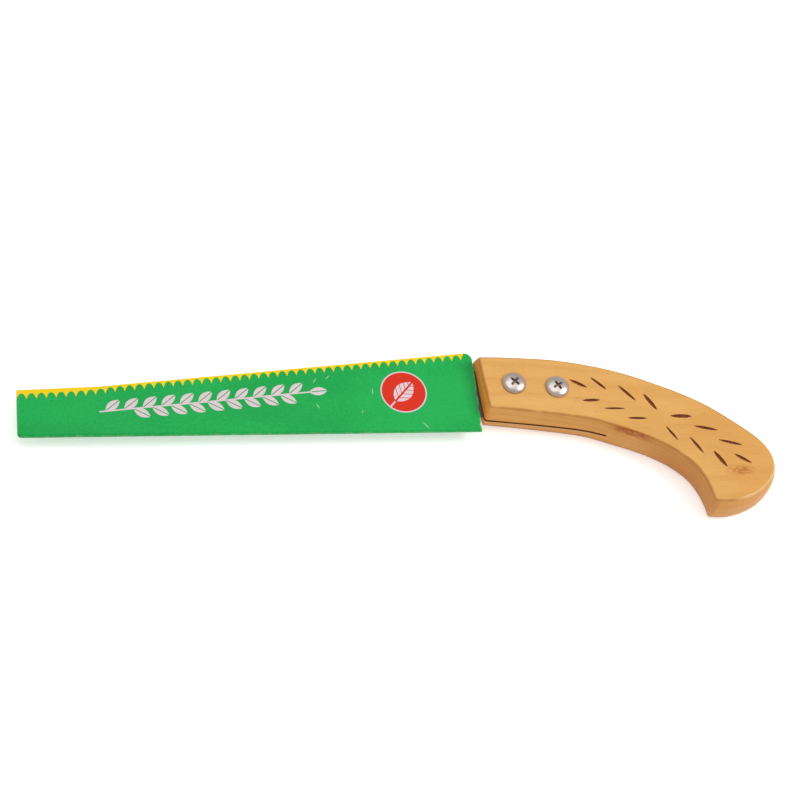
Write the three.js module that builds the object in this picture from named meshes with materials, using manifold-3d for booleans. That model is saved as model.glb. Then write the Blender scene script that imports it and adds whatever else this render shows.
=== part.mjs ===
// A fixed-blade pruning saw: a one-piece wooden pistol grip, slotted at mid-thickness for the blade's tang,
// two truss-head machine screws with their washers and nuts, and a printed card sheath over the blade.
//
// Millimetres. The saw lies on the handle's back face, which is the plane z = 0. The origin is on that face,
// midway between the two screws. +X runs along the sheath's spine towards the butt of the handle, +Y towards the
// teeth, and +Z is the normal of the blade.

import * as THREE from 'three';
import { mergeVertices } from 'three/addons/utils/BufferGeometryUtils.js';
import Module from 'manifold-3d';

// ---- Driving dimensions ----

// Handle
const HANDLE_THICKNESS = 22;
const SIDE_SWELL = 2; // how far the sides stand out past the edges of the two flat faces
const SWELL_DEPTH = 10.5; // depth over which the swell comes in to each flat face
const HANDLE_CURVE_STEPS = 5; // straight steps between two outline points
const FRONT_FACET = 3.5; // in the front part both sides slope evenly out to this at mid-thickness
const FACET_END_X = 40; // the facets have run out into the round swell here
const FACET_FADE = 8;
const REAR_LEAN = 2.2; // the rear part's back face is shifted this far along +X
const LEAN_START_X = 42;
const LEAN_FULL_X = 78;
const FRONT_TOP = new THREE.Vector2(-30.9, 18.9); // ends of the flat face's front edge
const FRONT_BOTTOM = new THREE.Vector2(-28.1, -13.4);
const TRIM_TOP = new THREE.Vector2(-31.9, 23); // the front end's swell is trimmed flat along the line of these two
const TRIM_BOTTOM = new THREE.Vector2(-29.9, -16);

// Blade, tang and the slot that holds the tang
const BLADE_PLANE = HANDLE_THICKNESS / 2;
const BLADE_THICKNESS = 1.2;
const SLOT_WIDTH = 1.8;
const SLOT_TOP_END_X = 26; // where the closed side of the slot turns down into the saw's round run-out
const SLOT_BEND = new THREE.Vector2(38, -4);
const SLOT_EXIT = new THREE.Vector2(41, -34); // past the underside
const SLOT_START_X = -50; // past the front end
const TANG_TOP_Y = 13.4; // top and bottom edge of the tang at x = 0
const TANG_BOTTOM_Y = -16;
const TANG_SLOPE = -0.05;
const TANG_END = 23;
const TANG_CORNER = 6;
const TANG_ROOM = 1; // from the tang's top edge to the closed side of the slot
const HEEL_X = -35;
const TOE_X = -288.5;
const BLADE_BACK_Y = -21.6;
const TOE_ROUND = 9;
const HEEL_FILLET = 5; // where the blade's heel meets the tang's top edge
const HEEL_ROUND = 2; // above the first tooth
const HEEL_BACK_ROUND = 6; // where the blade's back edge meets the tang
const HEEL_BACK_STEP = 3;
const TOOTH_COUNT = 60;
const TOOTH_PITCH = 4;
const TOOTH_DEPTH = 3;
const TOOTH_SET = 0.3; // sideways lean of each tip, alternately to the two sides
const TOOTH_START = 5; // from the heel to the first gullet
const TIP_CLEARANCE = 2; // from the tooth tips to the sheath's tooth edge

// Fasteners
const SCREW_SPACING = 25.2;
const SCREW_LINE_ANGLE = THREE.MathUtils.degToRad(-6); // the line of the screws, against +X
const HEAD_RADIUS = 6.7;
const HEAD_HEIGHT = 2.9;
const HEAD_RIM = 0.5; // height of the head's straight rim
const DOME_SHOULDER = 0.8; // fullness of the head's dome, as shares of its radius and height
const DOME_CROWN = 0.4;
const SHANK_RADIUS = 2.5;
const SHANK_TIP = 0.5; // bevel at the shank's end
const CLEARANCE = 0.3; // round a shank
const SEAT_GAP = 0.1; // between faces that bear on each other
const RECESS_SPAN = 7;
const RECESS_SLOT = 1.4;
const RECESS_DEPTH = 1.8;
const FRONT_RECESS_DEGREES = 45; // how far each cross is turned
const REAR_RECESS_DEGREES = 30;
const NUT_ACROSS_FLATS = 8;
const NUT_HEIGHT = 4;
const WASHER_RADIUS = 5;
const WASHER_THICKNESS = 1;
const POCKET_RADIUS = 5.8;
const POCKET_DEPTH = 6;
const ROUND_SIDES = 32;
const OVERCUT = 1; // how far a cutting tool runs past the face that it starts from
const MERGE_DISTANCE = 1e-4; // corners of one solid closer than this are one corner
const SAME_PLACE = 0.01; // a corner this close to a tooth's tip belongs to it

// Carved grip cuts: centre, length, width and direction of each, all cut by hand, so each is placed by itself
const CUT_DEPTH = 0.8;
const GRIP_CUTS = [
  { x: 25.5, y: 1, length: 10.5, width: 1.7, degrees: -29 },
  { x: 37.5, y: 1, length: 11, width: 1.5, degrees: -44 },
  { x: 53.5, y: -5.5, length: 13, width: 1.6, degrees: -48 },
  { x: 66.5, y: -11.5, length: 11.5, width: 2.1, degrees: -59 },
  { x: 31.5, y: -10, length: 10, width: 1.6, degrees: 1 },
  { x: 44.5, y: -15.5, length: 12, width: 1.1, degrees: -1 },
  { x: 57, y: -22, length: 11, width: 1.3, degrees: -2 },
  { x: 83.5, y: -21, length: 12, width: 2.1, degrees: -2 },
  { x: 97, y: -29, length: 13.5, width: 1.6, degrees: -12 },
  { x: 110, y: -38.5, length: 13.5, width: 1.5, degrees: -15 },
  { x: 115.5, y: -49, length: 10.5, width: 1.7, degrees: -33 },
  { x: 76, y: -32, length: 10, width: 1.3, degrees: -58 },
  { x: 89.5, y: -40, length: 11.5, width: 1.5, degrees: -59 },
  { x: 102, y: -49, length: 11.5, width: 2.1, degrees: -58 },
];

// Sheath
const CARD_THICKNESS = 0.5;
const POCKET_HEIGHT = 2.6; // inside height of the flat sleeve
const SHEATH_OPEN_X = -32.3;
const SHEATH_TOE_X = -290.9;
const SHEATH_SPINE_Y = -23.6;
const SHEATH_HEEL_Y = 27.9; // tooth edge at the handle end
const SHEATH_BEND = new THREE.Vector2(-247, 7.3); // the tooth edge turns flatter here
const SHEATH_TOE_Y = 5.5;
const SHEATH_CORNER = 5; // rounding of the tooth-edge corner at the handle end
const CORNER_SHARE = 0.3; // how far the rounding's middle point lies in from the sharp corner, as a share of it

// ---- Materials ----

const finish = (color, roughness, metalness) => new THREE.MeshStandardMaterial({ color, roughness, metalness });
const wood = () => finish(0xe3ad69, 0.4, 0);
const steel = () => finish(0xb4b7bb, 0.3, 1);
const platedSteel = () => finish(0xd0d2d6, 0.22, 1);
const printedCard = () => finish(0x2aae5a, 0.5, 0);

// ---- Solids: closed three.js geometry in, closed three.js geometry out ----

const wasm = await Module();
wasm.setup();

/** Make a solid from a closed geometry, with shared corners merged and collapsed triangles left out. */
function toSolid(geometry) {
  const bare = geometry.clone();
  bare.deleteAttribute('normal');
  bare.deleteAttribute('uv');
  const merged = mergeVertices(bare, MERGE_DISTANCE);
  const corners = merged.index.array;
  const triVerts = [];
  for (let i = 0; i < corners.length; i += 3) {
    const [a, b, c] = corners.subarray(i, i + 3);
    if (a !== b && b !== c && c !== a) {
      triVerts.push(a, b, c);
    }
  }
  const vertProperties = new Float32Array(merged.attributes.position.array);
  return new wasm.Manifold(new wasm.Mesh({ numProp: 3, vertProperties, triVerts: new Uint32Array(triVerts) }));
}

/** Turn a solid back into a geometry. */
function toGeometry(solid) {
  const mesh = solid.getMesh();
  const geometry = new THREE.BufferGeometry();
  geometry.setAttribute('position', new THREE.BufferAttribute(mesh.vertProperties, 3));
  geometry.setIndex(new THREE.BufferAttribute(mesh.triVerts, 1));
  geometry.computeVertexNormals();
  return geometry;
}

/** Cut a list of tool geometries out of a geometry. */
function cut(geometry, tools) {
  return toGeometry(tools.reduce((solid, tool) => solid.subtract(toSolid(tool)), toSolid(geometry)));
}

/** A straight slab of a plan outline between two heights. */
function slab(outline, bottom, top, curveSegments = 6) {
  const geometry = new THREE.ExtrudeGeometry(outline, { depth: top - bottom, bevelEnabled: false, curveSegments });
  return geometry.translate(0, 0, bottom);
}

/** A vertical cylinder between two heights. */
function post(x, y, radius, bottom, top, sides = ROUND_SIDES) {
  const geometry = new THREE.CylinderGeometry(radius, radius, top - bottom, sides);
  return geometry.rotateX(Math.PI / 2).translate(x, y, (bottom + top) / 2);
}

const points = (...pairs) => pairs.map(([x, y]) => new THREE.Vector2(x, y));

// ---- Handle ----

const screwStep = new THREE.Vector2(SCREW_SPACING / 2, 0).rotateAround(new THREE.Vector2(), SCREW_LINE_ANGLE);
const FRONT_SCREW = screwStep.clone().negate();
const REAR_SCREW = screwStep;

/** Edge of the handle's flat face: over the back and round the butt to its point, then along the underside. */
function handleFace() {
  const face = new THREE.Shape();
  face.moveTo(FRONT_TOP.x, FRONT_TOP.y);
  face.splineThru(points(
    [-12, 18.4], [18, 16], [49, 8.8], [77, -2.1], [98, -12.8], [117, -27], [129.5, -39], [133.9, -50],
    [130.5, -61], [120, -70.4], [106, -75], [94.4, -74.6],
  ));
  face.splineThru(points(
    [92.3, -64], [87, -52.4], [77, -42.6], [63, -34.1], [49, -28.2], [29, -21.6], [0, -17],
    [FRONT_BOTTOM.x, FRONT_BOTTOM.y],
  ));
  face.closePath();
  return face;
}

/** What stands out past the trimmed front end. */
function frontWaste() {
  const along = TRIM_BOTTOM.clone().sub(TRIM_TOP);
  const top = TRIM_TOP.clone().sub(along);
  const bottom = TRIM_BOTTOM.clone().add(along);
  const waste = new THREE.Shape([top, ...points([SLOT_START_X, top.y], [SLOT_START_X, bottom.y]), bottom]);
  return slab(waste, -OVERCUT, HANDLE_THICKNESS + OVERCUT);
}

const tangTop = (x) => TANG_TOP_Y + TANG_SLOPE * x;
const tangBottom = (x) => TANG_BOTTOM_Y + TANG_SLOPE * x;

/** The sawn slot, open at the front end and along the underside, with the saw's round run-out at its end. */
function tangSlot() {
  const slot = new THREE.Shape();
  slot.moveTo(SLOT_START_X, tangTop(SLOT_START_X) + TANG_ROOM);
  slot.lineTo(SLOT_TOP_END_X, tangTop(SLOT_TOP_END_X) + TANG_ROOM);
  slot.quadraticCurveTo(SLOT_BEND.x, SLOT_BEND.y, SLOT_EXIT.x, SLOT_EXIT.y);
  slot.lineTo(SLOT_START_X, SLOT_EXIT.y);
  slot.closePath();
  return slab(slot, BLADE_PLANE - SLOT_WIDTH / 2, BLADE_PLANE + SLOT_WIDTH / 2);
}

/** One leaf-shaped gouge cut in the front face. */
function gripCut({ x, y, length, width, degrees }) {
  const leaf = new THREE.Shape();
  leaf.moveTo(-length / 2, 0);
  leaf.quadraticCurveTo(0, width, length / 2, 0);
  leaf.quadraticCurveTo(0, -width, -length / 2, 0);
  const gouge = slab(leaf, HANDLE_THICKNESS - CUT_DEPTH, HANDLE_THICKNESS + OVERCUT, 4);
  return gouge.rotateZ(THREE.MathUtils.degToRad(degrees)).translate(x, y, 0);
}

/** Move a point of the evenly swollen block on to the front part's facets and the rear part's lean. */
function trueUp(point) {
  const { smoothstep } = THREE.MathUtils;
  const height = point.z / HANDLE_THICKNESS;
  const level = Math.abs(2 * height - 1);
  const swell = SIDE_SWELL * Math.sqrt(1 - level ** 2);
  const facet = FRONT_FACET * (1 - level);
  const share = 1 - smoothstep(point.x, FACET_END_X - FACET_FADE, FACET_END_X);
  point.y += Math.sign(point.y) * share * (facet - swell);
  point.x += REAR_LEAN * (1 - height) * smoothstep(point.x, LEAN_START_X, LEAN_FULL_X);
  return point;
}

function makeHandle() {
  const block = new THREE.ExtrudeGeometry(handleFace(), {
    depth: HANDLE_THICKNESS - 2 * SWELL_DEPTH,
    curveSegments: HANDLE_CURVE_STEPS,
    bevelThickness: SWELL_DEPTH,
    bevelSize: SIDE_SWELL,
    bevelSegments: 4,
  });
  block.translate(0, 0, SWELL_DEPTH);
  const { position } = block.attributes;
  const point = new THREE.Vector3();
  for (let i = 0; i < position.count; i += 1) {
    point.fromBufferAttribute(position, i);
    position.setXYZ(i, ...trueUp(point));
  }
  const screwHoles = [FRONT_SCREW, REAR_SCREW].flatMap(({ x, y }) => [
    post(x, y, SHANK_RADIUS + CLEARANCE, -OVERCUT, HANDLE_THICKNESS + OVERCUT),
    post(x, y, POCKET_RADIUS, -OVERCUT, POCKET_DEPTH),
  ]);
  return cut(block, [frontWaste(), tangSlot(), ...screwHoles, ...GRIP_CUTS.map(gripCut)]);
}

// ---- Blade ----

/** Height of the sheath's tooth edge at a given x. */
function sheathEdge(x) {
  const heel = new THREE.Vector2(SHEATH_OPEN_X, SHEATH_HEEL_Y);
  const toe = new THREE.Vector2(SHEATH_TOE_X, SHEATH_TOE_Y);
  const [from, to] = x > SHEATH_BEND.x ? [SHEATH_BEND, heel] : [toe, SHEATH_BEND];
  return THREE.MathUtils.mapLinear(x, from.x, to.x, from.y, to.y);
}

/** Tooth tips and gullets from heel to toe, as a list of { x, y, lean }. */
function toothLine() {
  const line = [];
  const start = HEEL_X - TOOTH_START;
  for (let i = 0; i < TOOTH_COUNT; i += 1) {
    const gulletX = start - i * TOOTH_PITCH;
    const tipX = gulletX - TOOTH_PITCH / 2;
    line.push({ x: gulletX, y: sheathEdge(gulletX) - TIP_CLEARANCE - TOOTH_DEPTH, lean: 0 });
    line.push({ x: tipX, y: sheathEdge(tipX) - TIP_CLEARANCE, lean: i % 2 ? TOOTH_SET : -TOOTH_SET });
  }
  return line;
}

/** Blade and tang in plan, from the tang's top corner round over the teeth and back along the back edge. */
function bladeOutline(teeth) {
  const heelTop = tangTop(HEEL_X);
  const toeTop = teeth.at(-1).y - TOOTH_DEPTH;
  const tangEndTop = tangTop(TANG_END);
  const tangEndBottom = tangBottom(TANG_END);
  const blade = new THREE.Shape();
  blade.moveTo(TANG_END - TANG_CORNER, tangEndTop);
  blade.lineTo(HEEL_X + HEEL_FILLET, heelTop);
  blade.quadraticCurveTo(HEEL_X, heelTop, HEEL_X, heelTop + HEEL_FILLET);
  blade.lineTo(HEEL_X, teeth[0].y - HEEL_ROUND);
  blade.quadraticCurveTo(HEEL_X, teeth[0].y, HEEL_X - HEEL_ROUND, teeth[0].y);
  teeth.forEach(({ x, y }) => blade.lineTo(x, y));
  blade.quadraticCurveTo(TOE_X, toeTop, TOE_X, toeTop - TOE_ROUND);
  blade.lineTo(TOE_X, BLADE_BACK_Y + TOE_ROUND);
  blade.quadraticCurveTo(TOE_X, BLADE_BACK_Y, TOE_X + TOE_ROUND, BLADE_BACK_Y);
  blade.lineTo(HEEL_X - HEEL_BACK_ROUND, BLADE_BACK_Y);
  blade.quadraticCurveTo(HEEL_X, BLADE_BACK_Y, HEEL_X + HEEL_BACK_STEP, tangBottom(HEEL_X));
  blade.lineTo(TANG_END - TANG_CORNER, tangEndBottom);
  blade.quadraticCurveTo(TANG_END, tangEndBottom, TANG_END, tangEndBottom + TANG_CORNER);
  blade.lineTo(TANG_END, tangEndTop - TANG_CORNER);
  blade.quadraticCurveTo(TANG_END, tangEndTop, TANG_END - TANG_CORNER, tangEndTop);
  return blade;
}

function makeBlade() {
  const teeth = toothLine();
  const blade = bladeOutline(teeth);
  [FRONT_SCREW, REAR_SCREW].forEach(({ x, y }) => {
    blade.holes.push(new THREE.Path().absarc(x, y, SHANK_RADIUS + CLEARANCE, 0, 2 * Math.PI, true));
  });
  const geometry = slab(blade, BLADE_PLANE - BLADE_THICKNESS / 2, BLADE_PLANE + BLADE_THICKNESS / 2, 8);
  const position = geometry.attributes.position;
  for (let i = 0; i < position.count; i += 1) {
    const tip = teeth.find(({ x, y }) => Math.hypot(x - position.getX(i), y - position.getY(i)) < SAME_PLACE);
    if (tip) {
      position.setZ(i, position.getZ(i) + tip.lean);
    }
  }
  return toGeometry(toSolid(geometry));
}

// ---- Fasteners ----

const SCREW_TIP_Z = 0.6; // the screw stops short of the back face
const NUT_BOTTOM = POCKET_DEPTH - WASHER_THICKNESS - NUT_HEIGHT - 2 * SEAT_GAP;

/** Truss-head machine screw with a cross recess turned by the given angle. */
function makeScrew({ x, y }, recessDegrees) {
  const seat = HANDLE_THICKNESS + SEAT_GAP;
  const dome = new THREE.Path();
  dome.moveTo(0, SCREW_TIP_Z);
  dome.lineTo(SHANK_RADIUS - SHANK_TIP, SCREW_TIP_Z);
  dome.lineTo(SHANK_RADIUS, SCREW_TIP_Z + SHANK_TIP);
  dome.lineTo(SHANK_RADIUS, seat);
  dome.lineTo(HEAD_RADIUS, seat);
  dome.lineTo(HEAD_RADIUS, seat + HEAD_RIM);
  dome.bezierCurveTo(
    HEAD_RADIUS * DOME_SHOULDER, seat + HEAD_HEIGHT * DOME_SHOULDER,
    HEAD_RADIUS * DOME_CROWN, seat + HEAD_HEIGHT,
    0, seat + HEAD_HEIGHT,
  );
  const profile = dome.getPoints(6);
  profile.at(-1).setX(0);
  const screw = new THREE.LatheGeometry(profile, ROUND_SIDES).rotateX(Math.PI / 2);
  const bars = [RECESS_SPAN, RECESS_SLOT].map((width) => {
    const length = RECESS_SPAN + RECESS_SLOT - width;
    const bar = new THREE.BoxGeometry(width, length, RECESS_DEPTH + OVERCUT);
    return bar.translate(0, 0, seat + HEAD_HEIGHT - RECESS_DEPTH / 2 + OVERCUT / 2);
  });
  return cut(screw, bars).rotateZ(THREE.MathUtils.degToRad(recessDegrees)).translate(x, y, 0);
}

function makeWasher({ x, y }) {
  const top = POCKET_DEPTH - SEAT_GAP;
  const disc = post(x, y, WASHER_RADIUS, top - WASHER_THICKNESS, top);
  return cut(disc, [post(x, y, SHANK_RADIUS + CLEARANCE, 0, HANDLE_THICKNESS)]);
}

function makeNut({ x, y }) {
  const cornerRadius = NUT_ACROSS_FLATS / Math.sqrt(3);
  const hexagon = post(x, y, cornerRadius, NUT_BOTTOM, NUT_BOTTOM + NUT_HEIGHT, 6);
  return cut(hexagon, [post(x, y, SHANK_RADIUS + CLEARANCE, -OVERCUT, HANDLE_THICKNESS)]);
}

// ---- Sheath: one folded card, split along its folds ----

const SLEEVE_HALF = POCKET_HEIGHT / 2 + CARD_THICKNESS;
const FOLD_GAP = 0.1; // between the panels and the two strips along the folds

/** Tooth edge from the toe to the rounded corner, moved inwards by a margin. */
function toothEdge(margin) {
  const corner = SHEATH_CORNER;
  const open = SHEATH_OPEN_X;
  return points(
    [SHEATH_TOE_X, SHEATH_TOE_Y - margin],
    [SHEATH_BEND.x, SHEATH_BEND.y - margin],
    [open - corner, sheathEdge(open - corner) - margin],
    [open - corner * CORNER_SHARE, sheathEdge(open) - corner * CORNER_SHARE - margin],
    [open, sheathEdge(open) - corner - margin],
  );
}

/** One of the two flat walls, on the given side of the blade plane. */
function makePanel(side) {
  const margin = CARD_THICKNESS + FOLD_GAP;
  const spine = SHEATH_SPINE_Y + margin;
  const outline = new THREE.Shape([...points([SHEATH_OPEN_X, spine], [SHEATH_TOE_X, spine]), ...toothEdge(margin)]);
  const inner = BLADE_PLANE + side * POCKET_HEIGHT / 2;
  const outer = BLADE_PLANE + side * SLEEVE_HALF;
  return toGeometry(toSolid(slab(outline, Math.min(inner, outer), Math.max(inner, outer))));
}

function makeSpineFold() {
  const length = SHEATH_OPEN_X - SHEATH_TOE_X;
  const strip = new THREE.BoxGeometry(length, CARD_THICKNESS, 2 * SLEEVE_HALF);
  return strip.translate(SHEATH_TOE_X + length / 2, SHEATH_SPINE_Y + CARD_THICKNESS / 2, BLADE_PLANE);
}

function makeToothEdgeFlap() {
  const outline = new THREE.Shape([...toothEdge(0), ...toothEdge(CARD_THICKNESS).reverse()]);
  return toGeometry(toSolid(slab(outline, BLADE_PLANE - SLEEVE_HALF, BLADE_PLANE + SLEEVE_HALF)));
}

// ---- Assembly ----

/** A named part. */
function part(name, geometry, material) {
  const mesh = new THREE.Mesh(geometry, material);
  mesh.name = name;
  return mesh;
}

const saw = new THREE.Group();
saw.add(
  part('handle', makeHandle(), wood()),
  part('saw_blade', makeBlade(), steel()),
  part('front_screw', makeScrew(FRONT_SCREW, FRONT_RECESS_DEGREES), platedSteel()),
  part('rear_screw', makeScrew(REAR_SCREW, REAR_RECESS_DEGREES), platedSteel()),
  part('front_washer', makeWasher(FRONT_SCREW), platedSteel()),
  part('rear_washer', makeWasher(REAR_SCREW), platedSteel()),
  part('front_nut', makeNut(FRONT_SCREW), platedSteel()),
  part('rear_nut', makeNut(REAR_SCREW), platedSteel()),
);

const sheath = new THREE.Group();
sheath.add(
  part('sheath_front_panel', makePanel(1), printedCard()),
  part('sheath_back_panel', makePanel(-1), printedCard()),
  part('sheath_spine_fold', makeSpineFold(), printedCard()),
  part('sheath_tooth_edge_flap', makeToothEdgeFlap(), printedCard()),
);

const pruningSaw = new THREE.Group();
pruningSaw.add(saw, sheath);
export default pruningSaw;
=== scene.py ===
"""Looks of a fixed-blade pruning saw: wooden grip, steel blade, plated fasteners, printed card sheath.

Everything is in the CAD frame. The saw lies on the plane z = 0, with +X towards the butt of the grip, +Y
towards the teeth and +Z out of the face with the screw heads. Sizes in the dataclasses are in millimetres,
and MM turns them into Blender's metres where a mesh is made.
"""

import logging
import math
from dataclasses import dataclass, field
from enum import Enum
from typing import Iterable, Sequence

import bmesh
import bpy
import numpy as np
from mathutils import Matrix, Vector


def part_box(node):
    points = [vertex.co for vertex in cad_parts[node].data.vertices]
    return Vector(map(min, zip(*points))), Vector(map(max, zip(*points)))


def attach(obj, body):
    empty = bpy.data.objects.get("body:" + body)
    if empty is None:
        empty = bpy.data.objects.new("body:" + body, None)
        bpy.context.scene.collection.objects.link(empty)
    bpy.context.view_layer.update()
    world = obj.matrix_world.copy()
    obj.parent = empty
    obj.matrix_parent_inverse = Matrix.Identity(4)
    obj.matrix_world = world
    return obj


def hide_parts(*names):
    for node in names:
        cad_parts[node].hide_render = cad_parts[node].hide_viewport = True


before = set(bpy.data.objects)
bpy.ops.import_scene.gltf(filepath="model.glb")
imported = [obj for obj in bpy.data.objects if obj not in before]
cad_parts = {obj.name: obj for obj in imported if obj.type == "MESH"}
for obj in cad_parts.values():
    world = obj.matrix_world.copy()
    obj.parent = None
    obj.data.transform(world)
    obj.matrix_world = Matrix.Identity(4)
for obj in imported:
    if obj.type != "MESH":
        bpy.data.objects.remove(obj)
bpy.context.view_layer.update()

MM = 0.001
BORE_SIDES = 48
LOG = logging.getLogger("pruning_saw")

Socket = bpy.types.NodeSocket
Node = bpy.types.Node
Thing = bpy.types.Object
Colour = tuple[float, float, float, float]
Shape = tuple[np.ndarray, list[Sequence[int]]]


class Body(str, Enum):
    """The two rigid bodies of the saw."""

    SAW = "saw"
    SHEATH = "sheath"


class Slot(str, Enum):
    """Names of the material slots."""

    WOOD = "lacquered_wood"
    BLADE = "blade_steel"
    SCREW = "plated_screw"
    ZINC = "zinc_hardware"
    CARD = "printed_card"


def tint(code: str) -> Colour:
    """Turn a hex colour into scene-linear red, green, blue and alpha.

    Args:
        code: Six hex digits in the sRGB space.

    Returns:
        The linear colour.
    """
    shares = [int(code[i : i + 2], 16) / 255 for i in (0, 2, 4)]
    linear = [s / 12.92 if s <= 0.04045 else ((s + 0.055) / 1.055) ** 2.4 for s in shares]
    return (linear[0], linear[1], linear[2], 1.0)


# ---- Node trees ----


class Canvas:
    """Adds nodes to one node tree and links them."""

    def __init__(self, tree: bpy.types.NodeTree) -> None:
        """Keep the tree to work on."""
        self.tree = tree

    def feed(self, socket: Socket, value: object) -> None:
        """Link a socket to an input, or set the input's own value.

        Args:
            socket: The input.
            value: A plain value, or the output that feeds the input.
        """
        if isinstance(value, bpy.types.NodeSocket):
            self.tree.links.new(value, socket)
        else:
            socket.default_value = value

    def add(self, kind: str, inputs: dict[str | int, object] | None = None, **settings: object) -> Node:
        """Add a node.

        Args:
            kind: The node's Blender type.
            inputs: Input name or index to a value or to the socket that feeds it.
            **settings: The node's own properties.

        Returns:
            The new node.
        """
        node = self.tree.nodes.new(kind)
        for name, value in settings.items():
            setattr(node, name, value)
        for key, value in (inputs or {}).items():
            self.feed(node.inputs[key], value)
        return node

    def entry(self) -> dict[str, Socket]:
        """Add the group's input node and return its sockets by name."""
        return {socket.name: socket for socket in self.add("NodeGroupInput").outputs}

    def math(self, operation: str, *values: object) -> Socket:
        """Add a Math node and return its result."""
        return self.add("ShaderNodeMath", dict(enumerate(values)), operation=operation).outputs[0]

    def chain(self, operation: str, values: Sequence[object]) -> Socket:
        """Join several values by one operation.

        Args:
            operation: The Math node's operation.
            values: Numbers and sockets, in order.

        Returns:
            The last node's result.
        """
        result = values[0]
        for value in values[1:]:
            result = self.math(operation, result, value)
        return result

    def total(self, *values: object) -> Socket:
        """Add several values together."""
        return self.chain("ADD", values)

    def product(self, *values: object) -> Socket:
        """Multiply several values together."""
        return self.chain("MULTIPLY", values)

    def greatest(self, *values: object) -> Socket:
        """Take the greatest of several values."""
        return self.chain("MAXIMUM", values)

    def length(self, *values: Socket) -> Socket:
        """Length of a vector whose parts are given."""
        return self.math("SQRT", self.total(*(self.product(value, value) for value in values)))

    def ramp(self, value: Socket, low: float, high: float) -> Socket:
        """Rise smoothly from 0 at one value to 1 at another; a first value above the second gives a fall.

        Args:
            value: What the ramp reads.
            low: Where the result is 0.
            high: Where the result is 1.

        Returns:
            The result, from 0 to 1.
        """
        start, end, first, last = (low, high, 0.0, 1.0) if low < high else (high, low, 1.0, 0.0)
        inputs = {"Value": value, "From Min": start, "From Max": end, "To Min": first, "To Max": last}
        return self.add("ShaderNodeMapRange", inputs, interpolation_type="SMOOTHSTEP", clamp=True).outputs[0]

    def blend(self, share: object, low: object, high: object, mode: str = "MIX") -> Socket:
        """Blend two colours.

        Args:
            share: How much of the second colour shows, from 0 to 1.
            low: The first colour.
            high: The second colour.
            mode: The Mix node's way of blending.

        Returns:
            The blended colour.
        """
        node = self.add("ShaderNodeMix", data_type="RGBA", blend_type=mode, clamp_factor=True)
        for key, value in {0: share, 6: low, 7: high}.items():
            self.feed(node.inputs[key], value)
        return node.outputs[2]

    def axes(self, vector: Socket) -> tuple[Socket, Socket, Socket]:
        """Split a vector into its three parts."""
        node = self.add("ShaderNodeSeparateXYZ", {0: vector})
        return node.outputs[0], node.outputs[1], node.outputs[2]

    def vector(self, x: object, y: object, z: object) -> Socket:
        """Join three values into a vector."""
        return self.add("ShaderNodeCombineXYZ", {0: x, 1: y, 2: z}).outputs[0]

    def noise(self, vector: Socket, scale: float, detail: float = 2.0, roughness: float = 0.5) -> Socket:
        """Sample a noise texture and return its 0 to 1 value."""
        inputs = {"Vector": vector, "Scale": scale, "Detail": detail, "Roughness": roughness}
        return self.add("ShaderNodeTexNoise", inputs, noise_dimensions="3D").outputs[0]

    def stretched(self, vector: Socket, lengths: Sequence[float]) -> Socket:
        """Divide a vector in millimetres by a feature length along each axis."""
        inputs = {0: vector, 1: tuple(1 / length for length in lengths)}
        return self.add("ShaderNodeVectorMath", inputs, operation="MULTIPLY").outputs[0]

    def painted(self, name: str) -> Socket:
        """Read a value painted on a mesh, in a geometry node tree."""
        return self.add("GeometryNodeInputNamedAttribute", {"Name": name}, data_type="FLOAT").outputs[0]


def new_group(name: str, inputs: dict[str, str], outputs: dict[str, str], kind: str) -> Canvas:
    """Make an empty node group with named sockets.

    Args:
        name: The group's name.
        inputs: Input name to socket type, without its NodeSocket prefix.
        outputs: Output name to socket type.
        kind: ShaderNodeTree or GeometryNodeTree.

    Returns:
        A canvas on the group's tree.
    """
    tree = bpy.data.node_groups.new(name, kind)
    for direction, sockets in (("INPUT", inputs), ("OUTPUT", outputs)):
        for socket, form in sockets.items():
            tree.interface.new_socket(name=socket, in_out=direction, socket_type="NodeSocket" + form)
    return Canvas(tree)


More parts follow.
